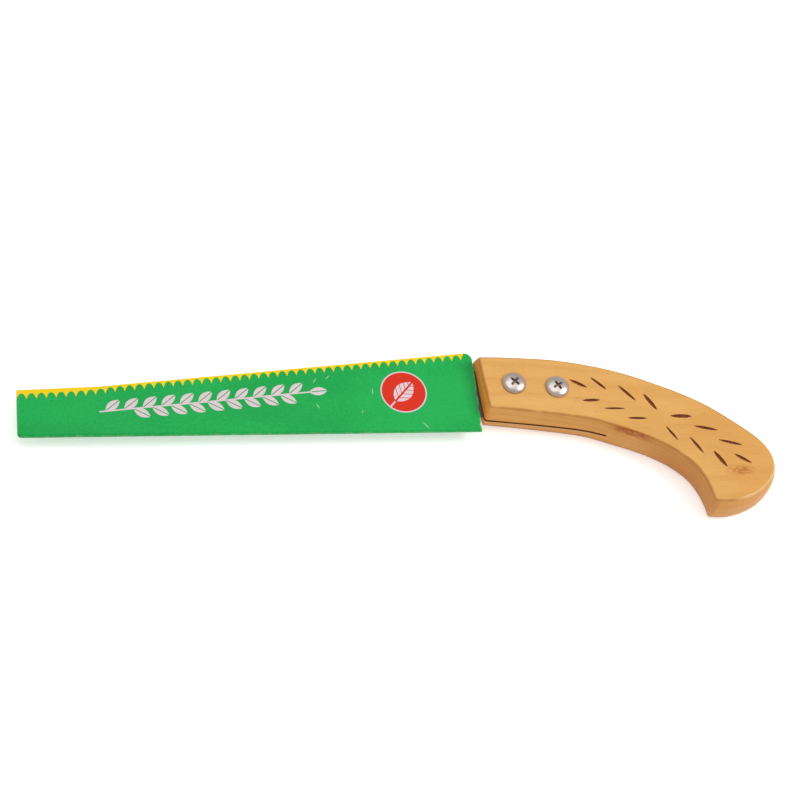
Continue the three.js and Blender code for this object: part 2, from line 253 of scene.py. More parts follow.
class Recipe(Canvas):
    """A geometry node tree that takes a mesh and named sizes, and gives back one plain mesh."""

    def __init__(self, name: str, sizes: dict[str, str]) -> None:
        """Start the tree.

        Args:
            name: The tree's name.
            sizes: Input name to socket type, besides Geometry and Finish.
        """
        inputs = {"Geometry": "Geometry", **sizes, "Finish": "Material"}
        super().__init__(new_group(name, inputs, {"Geometry": "Geometry"}, "GeometryNodeTree").tree)
        self.inputs = self.entry()

    def at_marks(self, tool: Socket, **placing: Socket) -> Socket:
        """Put a copy of a tool at every mark.

        Args:
            tool: The tool's mesh.
            **placing: Rotation, and Scale where it has one, of each copy.

        Returns:
            All the copies as one mesh.
        """
        marks = self.add("GeometryNodeObjectInfo", {"Object": self.inputs["Marks"]}).outputs["Geometry"]
        copies = self.add("GeometryNodeInstanceOnPoints", {"Points": marks, "Instance": tool, **placing})
        return self.add("GeometryNodeRealizeInstances", {0: copies.outputs[0]}).outputs[0]

    def cut(self, tools: Socket, overlapping: bool) -> Socket:
        """Cut tools out of the mesh that enters the tree.

        Args:
            tools: The tools' mesh.
            overlapping: Whether the tools overlap each other.

        Returns:
            The cut mesh.
        """
        inputs = {"Mesh 1": self.inputs["Geometry"], "Self Intersection": overlapping}
        node = self.add("GeometryNodeMeshBoolean", inputs, operation="DIFFERENCE", solver="EXACT")
        self.feed(node.inputs["Mesh 2"], tools)
        return node.outputs[0]

    def finish(self, geometry: Socket, chosen: Socket | bool = True) -> None:
        """End the tree: copies made real, and the finish given to the chosen faces.

        Args:
            geometry: The mesh so far.
            chosen: Which faces take the finish.
        """
        whole = self.add("GeometryNodeRealizeInstances", {0: geometry}).outputs[0]
        inputs = {"Geometry": whole, "Selection": chosen, "Material": self.inputs["Finish"]}
        self.add("NodeGroupOutput", {0: self.add("GeometryNodeSetMaterial", inputs).outputs[0]})


class Effects:
    """Shader node groups that several finishes share."""

    def __init__(self) -> None:
        """Build each group once."""
        self.edge_wear = self._edge_wear()
        self.smudges = self._smudges()
        self.hairlines = self._hairlines()

    def _patchy(
        self, name: str, values: Sequence[str], output: str, detail: float, roughness: float
    ) -> tuple[Canvas, dict[str, Socket], Socket]:
        """Start a group round a noise with patches of a given size.

        Args:
            name: The group's name.
            values: Names of its inputs besides Position and Patch Size, both in millimetres.
            output: Name of its output.
            detail: The noise's detail.
            roughness: The noise's roughness.

        Returns:
            The group's canvas, its inputs by name and the noise.
        """
        inputs = {"Position": "Vector", "Patch Size": "Float", **dict.fromkeys(values, "Float")}
        canvas = new_group(name, inputs, {output: "Float"}, "ShaderNodeTree")
        entry = canvas.entry()
        scaled = canvas.add("ShaderNodeVectorMath", {0: entry["Position"]}, operation="SCALE")
        canvas.feed(scaled.inputs["Scale"], canvas.math("DIVIDE", 1.0, entry["Patch Size"]))
        return canvas, entry, canvas.noise(scaled.outputs[0], 1.0, detail, roughness)

    def _edge_wear(self) -> bpy.types.NodeTree:
        """Build a mask that is 1 on worn edges, broken up by noise.

        Returns:
            The group's tree. Nearness is 1 on an edge line and 0 away from it.
        """
        canvas, entry, noise = self._patchy("edge wear", ("Nearness", "Amount"), "Mask", 4.0, 0.6)
        uneven = canvas.product(canvas.math("SUBTRACT", noise, 0.5), 1.6)
        reach = canvas.total(entry["Nearness"], uneven)
        canvas.add("NodeGroupOutput", {0: canvas.product(canvas.ramp(reach, 0.55, 1.0), entry["Amount"])})
        return canvas.tree

    def _smudges(self) -> bpy.types.NodeTree:
        """Build a soft patchy value between 0 and 1, for handling marks and uneven gloss.

        Returns:
            The group's tree.
        """
        canvas, _, noise = self._patchy("smudges", (), "Value", 3.0, 0.55)
        canvas.add("NodeGroupOutput", {0: canvas.ramp(noise, 0.3, 0.7)})
        return canvas.tree

    def _hairlines(self) -> bpy.types.NodeTree:
        """Build fine parallel lines along X, for grinding marks and straight fibres.

        Returns:
            The group's tree. Length and Width are the size of one line in millimetres.
        """
        inputs = {"Position": "Vector", "Length": "Float", "Width": "Float"}
        canvas = new_group("hairlines", inputs, {"Value": "Float"}, "ShaderNodeTree")
        entry = canvas.entry()
        sizes = canvas.vector(entry["Length"], entry["Width"], entry["Width"])
        fine = canvas.add("ShaderNodeVectorMath", {0: entry["Position"], 1: sizes}, operation="DIVIDE")
        canvas.add("NodeGroupOutput", {0: canvas.noise(fine.outputs[0], 1.0, 3.0, 0.6)})
        return canvas.tree


class Paint:
    """One material under construction: its canvas, its shader and its coordinates in millimetres."""

    def __init__(self, name: str) -> None:
        """Start a material with a Principled shader.

        Args:
            name: The material's name.
        """
        self.material = bpy.data.materials.new(name)
        self.material.use_nodes = True
        tree = self.material.node_tree
        tree.nodes.clear()
        self.canvas = Canvas(tree)
        self.shader = self.canvas.add("ShaderNodeBsdfPrincipled")
        self.canvas.add("ShaderNodeOutputMaterial", {"Surface": self.shader.outputs[0]})
        place = self.canvas.add("ShaderNodeTexCoord").outputs["Object"]
        inputs = {0: place, 3: 1 / MM}
        self.position = self.canvas.add("ShaderNodeVectorMath", inputs, operation="SCALE").outputs[0]

    def attribute(self, name: str) -> Socket:
        """Read a value painted on the mesh."""
        return self.canvas.add("ShaderNodeAttribute", attribute_name=name).outputs["Fac"]

    def set(self, **values: object) -> None:
        """Set or link shader inputs; an underscore in a name stands for a space."""
        for name, value in values.items():
            self.canvas.feed(self.shader.inputs[name.replace("_", " ")], value)

    def effect(self, tree: bpy.types.NodeTree, **values: object) -> Socket:
        """Place a shared effect at this material's own position.

        Args:
            tree: The effect's group.
            **values: Its inputs; an underscore in a name stands for a space.

        Returns:
            The effect's output.
        """
        node = self.canvas.add("ShaderNodeGroup", node_tree=tree)
        for name, value in {"Position": self.position, **values}.items():
            self.canvas.feed(node.inputs[name.replace("_", " ")], value)
        return node.outputs[0]

    def wear(self, effects: Effects, amount: float, patch_size: float) -> Socket:
        """Mask of the worn edges, by the nearness that is painted on the mesh."""
        near = self.attribute("edge")
        return self.effect(effects.edge_wear, Nearness=near, Amount=amount, Patch_Size=patch_size)

    def patches(self, *lengths: float, detail: float = 2.0, roughness: float = 0.5) -> Socket:
        """Sample a noise whose features have a length in millimetres along each axis."""
        return self.canvas.noise(self.canvas.stretched(self.position, lengths), 1.0, detail, roughness)

    def bump(self, height: Socket, depth: float, strength: float = 1.0, over: Socket | None = None) -> Socket:
        """Add a bump.

        Args:
            height: The height, from 0 to 1.
            depth: What a height of 1 stands for, in millimetres.
            strength: Share of the bump that shows.
            over: Normal of the surface that it lies on.

        Returns:
            The bumped normal.
        """
        inputs: dict[str | int, object] = {"Height": height, "Distance": depth * MM, "Strength": strength}
        if over is not None:
            inputs["Normal"] = over
        return self.canvas.add("ShaderNodeBump", inputs).outputs[0]


# ---- Finishes ----


@dataclass(frozen=True)
class LacqueredWood:
    """Pale straight-grained wood under a clear lacquer."""

    effects: Effects
    thickness: float
    pale: str = "E8B266"
    golden: str = "E0A658"
    streak: str = "C4843C"
    burnt: str = "8A4A1C"
    scorched: str = "AE5816"
    # Painted shade: tints that darken the sides and, more strongly, the finger scoop.
    side_shade_tint: str = "FFF2DC"
    scoop_shade_tint: str = "F1E5E2"
    end_grain: str = "FFA048"
    rim: str = "B06A28"
    # Painted highlight: pale colour for the worn edges near the butt.
    butt_highlight: str = "F4CC92"
    heart: tuple[float, float] = (-34.0, -62.0)
    ring_width: float = 4.2
    ring_drift: float = 11.0
    ring_slope: float = 0.035
    knot: tuple[float, float] = (113.0, -56.4)
    knot_size: tuple[float, float] = (3.4, 1.5)
    knot_reach: float = 3.2
    knot_push: float = 9.0
    ripe_x: tuple[float, float] = (70.0, 125.0)
    scorch_x: tuple[float, float] = (38.0, 68.0)
    scorch_z: tuple[float, float] = (16.0, 21.9)
    scoop_x: tuple[float, float] = (50.0, 76.0)
    scoop_end_x: tuple[float, float] = (98.0, 96.0)
    scoop_y: tuple[float, float] = (-22.0, -32.0)
    front_x: float = -28.7
    front_slope: float = 0.0867
    butt_x: tuple[float, float] = (148.0, 158.0)
    butt_slope: float = -0.6

    def grain(self, paint: Paint) -> tuple[Socket, Socket, Socket]:
        """Work out the growth rings, the fibres and the knot.

        Args:
            paint: The material under construction.

        Returns:
            Ring shade, fibre shade and knot nearness, each from 0 to 1.
        """
        canvas = paint.canvas
        x, y, z = canvas.axes(paint.position)
        along = canvas.math("DIVIDE", canvas.math("SUBTRACT", x, self.knot[0]), self.knot_size[0])
        across = canvas.math("DIVIDE", canvas.math("SUBTRACT", y, self.knot[1]), self.knot_size[1])
        knot = canvas.ramp(canvas.length(along, across), self.knot_reach, 0.0)
        aside, below = (canvas.math("SUBTRACT", value, heart) for value, heart in zip((y, z), self.heart))
        drift = canvas.product(paint.patches(90, 26, 26), self.ring_drift)
        push = canvas.product(knot, self.knot_push)
        growth = canvas.total(canvas.length(below, aside), drift, push, canvas.product(x, self.ring_slope))
        turn = canvas.product(growth, 2 * math.pi / self.ring_width)
        ring = canvas.math("MULTIPLY_ADD", canvas.math("SINE", turn), 0.5, 0.5)
        fibre = paint.effect(self.effects.hairlines, Length=34.0, Width=0.5)
        return canvas.math("POWER", ring, 2.2), fibre, knot

    def scorch(self, paint: Paint, fibre: Socket) -> Socket:
        """Mask of the brown burn that a coarse sander left under the edge of the face, behind the slot.

        Args:
            paint: The material under construction.
            fibre: Fibre shade, which breaks the burn up.

        Returns:
            The mask, from 0 to 1.
        """
        canvas = paint.canvas
        x, _, z = canvas.axes(paint.position)
        (start, end), (low, high) = self.scorch_x, self.scorch_z
        along = canvas.product(canvas.ramp(x, start, start + 12.0), canvas.ramp(x, end, (start + end) / 2))
        down = canvas.product(canvas.ramp(z, low, high - 1.5), canvas.math("LESS_THAN", z, high))
        smoke = paint.patches(5.0, 3.0, 1.6, detail=4.0, roughness=0.65)
        torn = canvas.ramp(canvas.total(smoke, canvas.product(fibre, 0.3)), 0.44, 0.78)
        return canvas.product(along, down, canvas.total(torn, 0.45))

    def side_shade(self, paint: Paint, base: Socket) -> Socket:
        """Paint shade on the sides, darker than the face as if less lit, and darkest in the finger scoop,
        where the grip shades itself.

        Args:
            paint: The material under construction.
            base: Colour so far.

        Returns:
            The deeper colour.
        """
        canvas = paint.canvas
        x, y, z = canvas.axes(paint.position)
        level = canvas.math("ABSOLUTE", canvas.math("MULTIPLY_ADD", z, 2 / self.thickness, -1.0))
        side = canvas.ramp(level, 0.99, 0.92)
        bounds = ((x, self.scoop_x), (x, self.scoop_end_x), (y, self.scoop_y))
        below = canvas.product(side, *(canvas.ramp(value, *limits) for value, limits in bounds))
        # Painted shade: the sides are darkened, and the finger scoop more so.
        base = canvas.blend(side, base, tint(self.side_shade_tint), "MULTIPLY")
        return canvas.blend(below, base, tint(self.scoop_shade_tint), "MULTIPLY")

    def figure(self, paint: Paint, pore: Socket) -> tuple[Socket, Socket]:
        """Colour the wood itself: its rings, fibres, pores, knot and burn.

        Args:
            paint: The material under construction.
            pore: Mask of the open pores.

        Returns:
            The colour and the fibre shade.
        """
        canvas = paint.canvas
        ring, fibre, knot = self.grain(paint)
        x, _, _ = canvas.axes(paint.position)
        patch = canvas.ramp(paint.patches(70, 22, 22), 0.3, 0.7)
        ripe = canvas.total(canvas.product(patch, 0.8), canvas.ramp(x, *self.ripe_x))
        flecks = canvas.ramp(paint.patches(3.0, 1.0, 1.0), 0.42, 0.54)
        base = canvas.blend(ripe, tint(self.pale), tint(self.golden))
        layers = (
            (canvas.product(ring, 0.2), self.streak),
            (canvas.product(canvas.ramp(fibre, 0.52, 0.75), 0.3), self.streak),
            (canvas.product(pore, 0.35), self.burnt),
            (canvas.product(knot, flecks, 0.95), self.scorched),
            (canvas.product(knot, 0.35), self.streak),
            (canvas.product(self.scorch(paint, fibre), 0.9), self.scorched),
        )
        for share, code in layers:
            base = canvas.blend(share, base, tint(code))
        return base, fibre

    def ends(self, paint: Paint, base: Socket) -> Socket:
        """Colour the sawn front end and the worn edges, which are brown, with a painted highlight in pale
        along the edges at the butt.

        Args:
            paint: The material under construction.
            base: Colour so far.

        Returns:
            The colour with both laid over it.
        """
        canvas = paint.canvas
        x, y, _ = canvas.axes(paint.position)
        front = canvas.math("MULTIPLY_ADD", y, self.front_slope, x)
        front = canvas.ramp(front, self.front_x, self.front_x - 0.7)
        smears = canvas.ramp(paint.patches(6.0, 2.2, 9.0), 0.4, 0.7)
        base = canvas.blend(canvas.product(front, 0.9), base, tint(self.end_grain))
        base = canvas.blend(canvas.product(front, smears, 0.15), base, tint(self.burnt))
        # Painted highlight: near the butt the worn edges turn pale instead of brown, standing in for a glint
        # on the edge.
        butt = canvas.ramp(canvas.math("MULTIPLY_ADD", y, self.butt_slope, x), *self.butt_x)
        wear = paint.wear(self.effects, 0.55, 9.0)
        return canvas.blend(wear, base, canvas.blend(butt, tint(self.rim), tint(self.butt_highlight)))

    def material(self) -> bpy.types.Material:
        """Build the material: colour from rings, fibres, knot and scorch marks under a clear coat.

        Returns:
            The material.
        """
        paint = Paint("lacquered wood")
        canvas = paint.canvas
        pore = canvas.ramp(paint.patches(7.0, 0.28, 0.28, detail=1.0), 0.66, 0.78)
        base, fibre = self.figure(paint, pore)
        base = self.ends(paint, self.side_shade(paint, base))
        smudge = paint.effect(self.effects.smudges, Patch_Size=16.0)
        dents = canvas.noise(paint.position, 0.22, 3.0)
        grooves = paint.bump(canvas.total(fibre, canvas.product(pore, -0.8)), 0.05, 0.5)
        paint.set(Base_Color=base, Roughness=canvas.total(canvas.product(smudge, 0.12), 0.36))
        paint.set(Normal=paint.bump(dents, 0.5, 0.35, grooves))
        paint.set(Coat_Weight=0.16, Coat_Roughness=0.2, Specular_IOR_Level=0.2)
        return paint.material


@dataclass(frozen=True)
class BareWood:
    """Raw sawn or scorched wood: the slot, the screw bores and the carved cuts."""

    effects: Effects
    name: str
    dark: str
    light: str
    roughness: float = 0.85

    def material(self) -> bpy.types.Material:
        """Build the material: torn fibres in two shades.

        Returns:
            The material.
        """
        paint = Paint(self.name)
        fibre = paint.effect(self.effects.hairlines, Length=3.0, Width=0.35)
        shade = paint.canvas.ramp(fibre, 0.35, 0.7)
        paint.set(Base_Color=paint.canvas.blend(shade, tint(self.dark), tint(self.light)))
        paint.set(Roughness=self.roughness, Normal=paint.bump(fibre, 0.12, 0.8))
        return paint.material


@dataclass(frozen=True)
class Metal:
    """Bright metal with grinding marks along X, handling smudges, worn edges and, where asked, painted shade
    from a given x.
    """

    effects: Effects
    name: str
    bright: str
    dull: str
    roughness: float
    line_length: float
    line_width: float
    line_depth: float
    # Painted shade on the blade's heel, standing in for the shade where it runs into the grip.
    heel_shade: str = "5C4E4A"
    heel_shade_from: float | None = None

    def material(self) -> bpy.types.Material:
        """Build the material: colour, roughness and bump from the grinding marks, and painted shade past a
        given x.

        Returns:
            The material.
        """
        paint = Paint(self.name)
        canvas = paint.canvas
        lines = paint.effect(self.effects.hairlines, Length=self.line_length, Width=self.line_width)
        smudge = paint.effect(self.effects.smudges, Patch_Size=14.0)
        wear = paint.wear(self.effects, 0.6, 3.0)
        share = canvas.total(canvas.product(lines, 0.5), canvas.product(smudge, 0.35))
        base = canvas.blend(share, tint(self.bright), tint(self.dull))
        base = canvas.blend(wear, base, tint(self.bright))
        # Painted shade: the steel darkens past the given x, where the blade runs into the grip.
        if self.heel_shade_from is not None:
            x, _, _ = canvas.axes(paint.position)
            reach = canvas.total(x, canvas.product(smudge, -1.5))
            heel_shade = canvas.ramp(reach, self.heel_shade_from - 1.5, self.heel_shade_from + 1.0)
            base = canvas.blend(heel_shade, base, tint(self.heel_shade))
        uneven = canvas.product(canvas.math("SUBTRACT", lines, 0.5), 0.25)
        rough = canvas.total(self.roughness, uneven, canvas.product(smudge, 0.1))
        paint.set(Base_Color=base, Metallic=1.0, Roughness=rough)
        paint.set(Normal=paint.bump(lines, self.line_depth, 0.6))
        return paint.material


@dataclass(frozen=True)
class SleeveOutline:
    """Plan of the sheath, shared by the card, its print and the blade's tooth line."""

    open_x: float = -32.3
    toe_x: float = -290.9
    spine_y: float = -23.6
    heel_y: float = 27.9
    bend_x: float = -247.0
    bend_y: float = 7.3
    toe_y: float = 5.5
    corner: float = 5.0

    @property
    def heel_slope(self) -> float:
        """Slope of the long stretch of the tooth edge."""
        return (self.heel_y - self.bend_y) / (self.open_x - self.bend_x)

    @property
    def toe_slope(self) -> float:
        """Slope of the short stretch at the toe."""
        return (self.bend_y - self.toe_y) / (self.bend_x - self.toe_x)

    def edge(self, x: np.ndarray | float) -> np.ndarray:
        """Height of the tooth edge at x, without the rounded corner."""
        run = x - self.bend_x
        return np.maximum(self.bend_y + run * self.heel_slope, self.bend_y + run * self.toe_slope)


@dataclass(frozen=True)
class PrintedCard:
    """Green printed card: yellow tooth band along the edge, a white leaf sprig and a round leaf badge."""

    effects: Effects
    outline: SleeveOutline
    plane: float
    green: str = "14B454"
    deep_green: str = "07A64A"
    yellow: str = "FBD400"
    white: str = "E2CFD6"
    red: str = "DC2A0C"
    core: str = "CFCDC2"
    tooth_pitch: float = 5.36
    peak: float = 1.4
    valley: float = 5.0
    toe_drop: float = 1.5
    toe_drop_start: float = -232.0
    toe_drop_full: float = -264.0
    point_power: float = 2.5
    badge: tuple[float, float] = (-75.0, 1.7)
    badge_radius: float = 13.4
    badge_rim: float = 0.75
    badge_turn: float = 48.0
    badge_leaf: tuple[float, float] = (17.2, 10.4)
    sprig: tuple[float, float] = (-243.5, -8.9)
    leaves: int = 11
    leaf_pitch: float = 10.3
    leaf_length: float = 10.6
    leaf_width: float = 5.2
    leaf_angle: float = 35.0
    rib_share: float = 0.055
    stem_width: float = 0.84
    scuff_width: float = 0.44
    scuffs: tuple[tuple[float, float, float, float], ...] = (
        (-125.5, 9.5, 4.0, 60.0),
        (-118.0, 11.5, 3.5, 50.0),
        (-125.0, -7.0, 3.5, -60.0),
        (-100.0, -11.0, 1.6, 80.0),
        (-93.0, 2.0, 4.0, 90.0),
        (-64.5, -20.0, 6.0, -50.0),
    )

    def turned(
        self, canvas: Canvas, place: Sequence[Socket], centre: Sequence[float], angle: float
    ) -> list[Socket]:
        """Work out coordinates along and across a direction, from a centre.

        Args:
            canvas: The material's canvas.
            place: x and y sockets in millimetres.
            centre: The new origin.
            angle: Direction of the new first axis, in degrees.

        Returns:
            The two turned coordinates.
        """
        c, s = math.cos(math.radians(angle)), math.sin(math.radians(angle))
        x, y = (canvas.math("SUBTRACT", value, start) for value, start in zip(place, centre))
        return [canvas.total(canvas.product(x, a), canvas.product(y, b)) for a, b in ((c, s), (-s, c))]

    def leaf(self, canvas: Canvas, along: Socket, across: Socket, length: float, width: float) -> Socket:
        """Mask of a pointed leaf that starts at 0 and runs along the first axis, with its midrib left out.

        Args:
            canvas: The material's canvas.
            along: Coordinate along the leaf.
            across: Coordinate across it.
            length: The leaf's length.
            width: Its greatest width.

        Returns:
            The mask.
        """
        share = canvas.math("SUBTRACT", canvas.product(along, 2 / length), 1.0)
        half = canvas.product(canvas.math("SUBTRACT", 1.0, canvas.product(share, share)), width / 2)
        side = canvas.math("ABSOLUTE", across)
        rib = canvas.math("GREATER_THAN", side, width * self.rib_share)
        return canvas.product(canvas.math("LESS_THAN", side, half), rib)

    def band(self, canvas: Canvas, x: Socket, y: Socket) -> Socket:
        """Mask of the yellow band, whose lower edge is a row of points between rounded green peaks.

        Args:
            canvas: The material's canvas.
            x: Place along the sheath.
            y: Place across it.

        Returns:
            The mask.
        """
        outline = self.outline
        run = canvas.math("SUBTRACT", x, outline.bend_x)
        slopes = (outline.heel_slope, outline.toe_slope)
        edge = canvas.greatest(*(canvas.math("MULTIPLY_ADD", run, slope, outline.bend_y) for slope in slopes))
        cell = canvas.product(canvas.math("SUBTRACT", x, outline.toe_x), 1 / self.tooth_pitch)
        swing = canvas.math("ABSOLUTE", canvas.math("MULTIPLY_ADD", canvas.math("FRACT", cell), 2.0, -1.0))
        point = canvas.math("POWER", swing, self.point_power)
        reach = canvas.math("MULTIPLY_ADD", point, self.valley - self.peak, self.peak)
        toe = canvas.ramp(x, self.toe_drop_start, self.toe_drop_full)
        reach = canvas.math("MULTIPLY_ADD", toe, self.toe_drop, reach)
        inside = canvas.math("LESS_THAN", canvas.math("SUBTRACT", edge, y), reach)
        return canvas.product(inside, canvas.math("LESS_THAN", x, outline.open_x - outline.corner))

    def sprig_mask(self, canvas: Canvas, x: Socket, y: Socket) -> Socket:
        """Mask of a stem with leaves in turn on its two sides.

        Args:
            canvas: The material's canvas.
            x: Place along the sheath.
            y: Place across it.

        Returns:
            The mask.
        """
        slant = math.degrees(math.atan(self.outline.heel_slope))
        along, across = self.turned(canvas, (x, y), self.sprig, slant)
        length = self.leaves * self.leaf_pitch
        size = (self.leaf_length, self.leaf_width)
        stem = canvas.math("LESS_THAN", canvas.math("ABSOLUTE", across), self.stem_width / 2)
        reach = canvas.math("ABSOLUTE", canvas.math("SUBTRACT", along, length / 2))
        masks = [
            canvas.product(stem, canvas.math("LESS_THAN", reach, length / 2 + 3.0)),
            self.leaf(canvas, canvas.math("SUBTRACT", along, length + 1.5), across, *size),
        ]
        for side, shift in ((1.0, 0.0), (-1.0, 0.5)):
            place = canvas.math("MULTIPLY_ADD", along, 1 / self.leaf_pitch, -shift)
            number = canvas.math("FLOOR", place)
            middle = canvas.math("ABSOLUTE", canvas.math("SUBTRACT", number, (self.leaves - 1) / 2))
            whole = canvas.math("LESS_THAN", middle, self.leaves / 2 - shift)
            cell = canvas.product(canvas.math("SUBTRACT", place, number), self.leaf_pitch)
            local = self.turned(canvas, (cell, canvas.product(across, side)), (0.3, 0.1), self.leaf_angle)
            masks.append(canvas.product(whole, self.leaf(canvas, *local, *size)))
        return canvas.greatest(*masks)

    def badge_masks(self, canvas: Canvas, x: Socket, y: Socket) -> tuple[Socket, Socket]:
        """Masks of the badge's red field and of its white rim and leaf.

        Args:
            canvas: The material's canvas.
            x: Place along the sheath.
            y: Place across it.

        Returns:
            The two masks.
        """
        along, across = self.turned(canvas, (x, y), self.badge, self.badge_turn)
        side = canvas.math("ABSOLUTE", across)
        radius = canvas.length(along, across)
        disc = canvas.math("LESS_THAN", radius, self.badge_radius)
        rim = canvas.math("GREATER_THAN", radius, self.badge_radius - self.badge_rim)
        start = canvas.math("ADD", along, self.badge_leaf[0] / 2)
        leaf = self.leaf(canvas, start, across, *self.badge_leaf)
        veins = canvas.math("FRACT", canvas.math("MULTIPLY_ADD", side, -0.24, canvas.product(start, 0.3)))
        leaf = canvas.product(leaf, canvas.math("GREATER_THAN", veins, 0.16))
        stalk = canvas.product(canvas.math("LESS_THAN", side, 0.45), canvas.math("LESS_THAN", along, -8.2))
        return disc, canvas.product(disc, canvas.greatest(rim, leaf, stalk))

    def scuff_mask(self, canvas: Canvas, x: Socket, y: Socket) -> Socket:
        """Mask of the listed scratches that show the card's core.

        Args:
            canvas: The material's canvas.
            x: Place along the sheath.
            y: Place across it.

        Returns:
            The mask.
        """
        marks = []
        for *centre, length, angle in self.scuffs:
            along, across = self.turned(canvas, (x, y), centre, angle)
            share = canvas.product(along, 2 / length)
            half = canvas.math("SUBTRACT", 1.0, canvas.product(share, share))
            half = canvas.product(half, self.scuff_width / 2)
            marks.append(canvas.math("LESS_THAN", canvas.math("ABSOLUTE", across), half))
        return canvas.greatest(*marks)

    def material(self) -> bpy.types.Material:
        """Build the material: print, scuffs and worn folds over a faint card texture.

        Returns:
            The material.
        """
        paint = Paint("printed card")
        canvas = paint.canvas
        x, y, z = canvas.axes(paint.position)
        front = canvas.math("GREATER_THAN", z, self.plane)
        mottle = canvas.math("SUBTRACT", canvas.noise(paint.position, 0.7, 3.0, 0.6), 0.5)
        share = canvas.total(canvas.ramp(paint.patches(60, 30, 30), 0.3, 0.7), canvas.product(mottle, 3.2))
        base = canvas.blend(share, tint(self.green), tint(self.deep_green))
        disc, light = self.badge_masks(canvas, x, y)
        scuff = canvas.product(front, self.scuff_mask(canvas, x, y))
        wear = paint.wear(self.effects, 0.3, 2.5)
        layers = (
            (self.band(canvas, x, y), self.yellow),
            (canvas.product(front, self.sprig_mask(canvas, x, y)), self.white),
            (canvas.product(front, disc), self.red),
            (canvas.product(front, light), self.white),
            (canvas.product(canvas.greatest(scuff, wear), 0.8), self.core),
        )
        for mask, code in layers:
            base = canvas.blend(mask, base, tint(code))
        smudge = paint.effect(self.effects.smudges, Patch_Size=30.0)
        fine = paint.bump(canvas.noise(paint.position, 1.6, 4.0, 0.6), 0.03, 0.5)
        paint.set(Base_Color=base, Roughness=canvas.total(canvas.product(smudge, 0.12), 0.45))
        paint.set(Normal=paint.bump(paint.patches(26, 14, 14), 0.35, 0.6, fine), Specular_IOR_Level=0.25)
        return paint.material


@dataclass(frozen=True)
class RawCard:
    """Unprinted grey card: the sleeve's inside and its cut edges."""

    effects: Effects
    light: str = "CFC9BB"
    dark: str = "A79F8E"

    def material(self) -> bpy.types.Material:
        """Build the material: flecked fibres.

        Returns:
            The material.
        """
        paint = Paint("raw card")
        canvas = paint.canvas
        flecks = canvas.noise(paint.position, 2.4, 5.0, 0.65)
        lines = paint.effect(self.effects.hairlines, Length=2.5, Width=0.18)
        shade = canvas.ramp(canvas.total(flecks, canvas.product(lines, 0.4)), 0.5, 0.95)
        paint.set(Base_Color=canvas.blend(shade, tint(self.light), tint(self.dark)), Roughness=0.9)
        paint.set(Normal=paint.bump(flecks, 0.06, 0.6))
        return paint.material


# ---- Meshes ----


def make_piece(
    name: str,
    vertices: np.ndarray,
    faces: Iterable[Sequence[int]],
    materials: Sequence[bpy.types.Material],
    slots: Sequence[int] | None = None,
) -> Thing:
    """Make an object at the origin from vertices in millimetres.

    Args:
        name: The object's name.
        vertices: One row of x, y, z per vertex.
        faces: Vertex numbers of each face, anticlockwise from outside.
        materials: The mesh's materials, in slot order.
        slots: Material number of each face; all 0 if left out.

    Returns:
        The linked object.
    """
    mesh = bpy.data.meshes.new(name)
    mesh.from_pydata((vertices * MM).tolist(), [], [tuple(int(i) for i in face) for face in faces])
    for material in materials:
        mesh.materials.append(material)
    if slots is not None:
        mesh.polygons.foreach_set("material_index", np.asarray(slots, np.int32))
    mesh.validate()
    thing = bpy.data.objects.new(name, mesh)
    bpy.context.scene.collection.objects.link(thing)
    return thing


def paint_value(thing: Thing, name: str, values: np.ndarray) -> None:
    """Store one value per vertex under a name that materials read."""
    layer = thing.data.attributes.new(name, "FLOAT", "POINT")
    layer.data.foreach_set("value", np.asarray(values, np.float32))


def shade(thing: Thing, crease: float) -> None:
    """Shade a mesh smooth, with its sharpest edges left crisp.

    Args:
        thing: The object.
        crease: Edges sharper than this many degrees stay crisp.
    """
    thing.data.polygons.foreach_set("use_smooth", [True] * len(thing.data.polygons))
    thing.data.set_sharp_from_angle(angle=math.radians(crease))
    thing.data.update()


def ring_quads(first: int, rings: int, around: int) -> list[tuple[int, int, int, int]]:
    """Quads between closed rings laid one after another.

    Args:
        first: Number of the first ring's first vertex.
        rings: How many rings there are.
        around: Vertices in each ring.

    Returns:
        The quads, facing out where the rings run anticlockwise about their direction of travel.
    """
    quads = []
    for ring in range(rings - 1):
        low = first + ring * around
        high = low + around
        for i in range(around):
            j = (i + 1) % around
            quads.append((low + i, low + j, high + j, high + i))
    return quads


def loft(rings: Sequence[np.ndarray]) -> Shape:
    """Skin a stack of rings and close both ends with a flat face.

    Args:
        rings: The rings, in order, with the same number of points in each.

    Returns:
        Vertices and faces.
    """
    around = len(rings[0])
    last = (len(rings) - 1) * around
    faces: list[Sequence[int]] = list(ring_quads(0, len(rings), around))
    faces += [tuple(reversed(range(around))), tuple(range(last, last + around))]
    return np.vstack(rings), faces


def revolve(profile: Sequence[tuple[float, float]], sides: int) -> Shape:
    """Turn a profile about the Z axis into a closed body.

    Args:
        profile: Radius and height pairs from the bottom up. Both ends are closed by a flat face.
        sides: Facets round the axis.

    Returns:
        Vertices and faces.
    """
    angles = np.arange(sides) * 2 * math.pi / sides
    circle = np.column_stack([np.cos(angles), np.sin(angles), np.zeros(sides)])
    return loft([circle * (radius, radius, 0) + (0, 0, height) for radius, height in profile])


def together(bodies: Iterable[Shape]) -> Shape:
    """Put several bodies into one list of vertices and one of faces.

    Args:
        bodies: Vertices and faces of each body.

    Returns:
        All the vertices and all the faces.
    """
    vertices, faces, start = [], [], 0
    for points, sides in bodies:
        vertices.append(points)
        faces += [[start + i for i in side] for side in sides]
        start += len(points)
    return np.vstack(vertices), faces


def discard(thing: Thing) -> None:
    """Remove a helper object and its mesh.

    Args:
        thing: The object.
    """
    mesh = thing.data
    bpy.data.objects.remove(thing)
    bpy.data.meshes.remove(mesh)


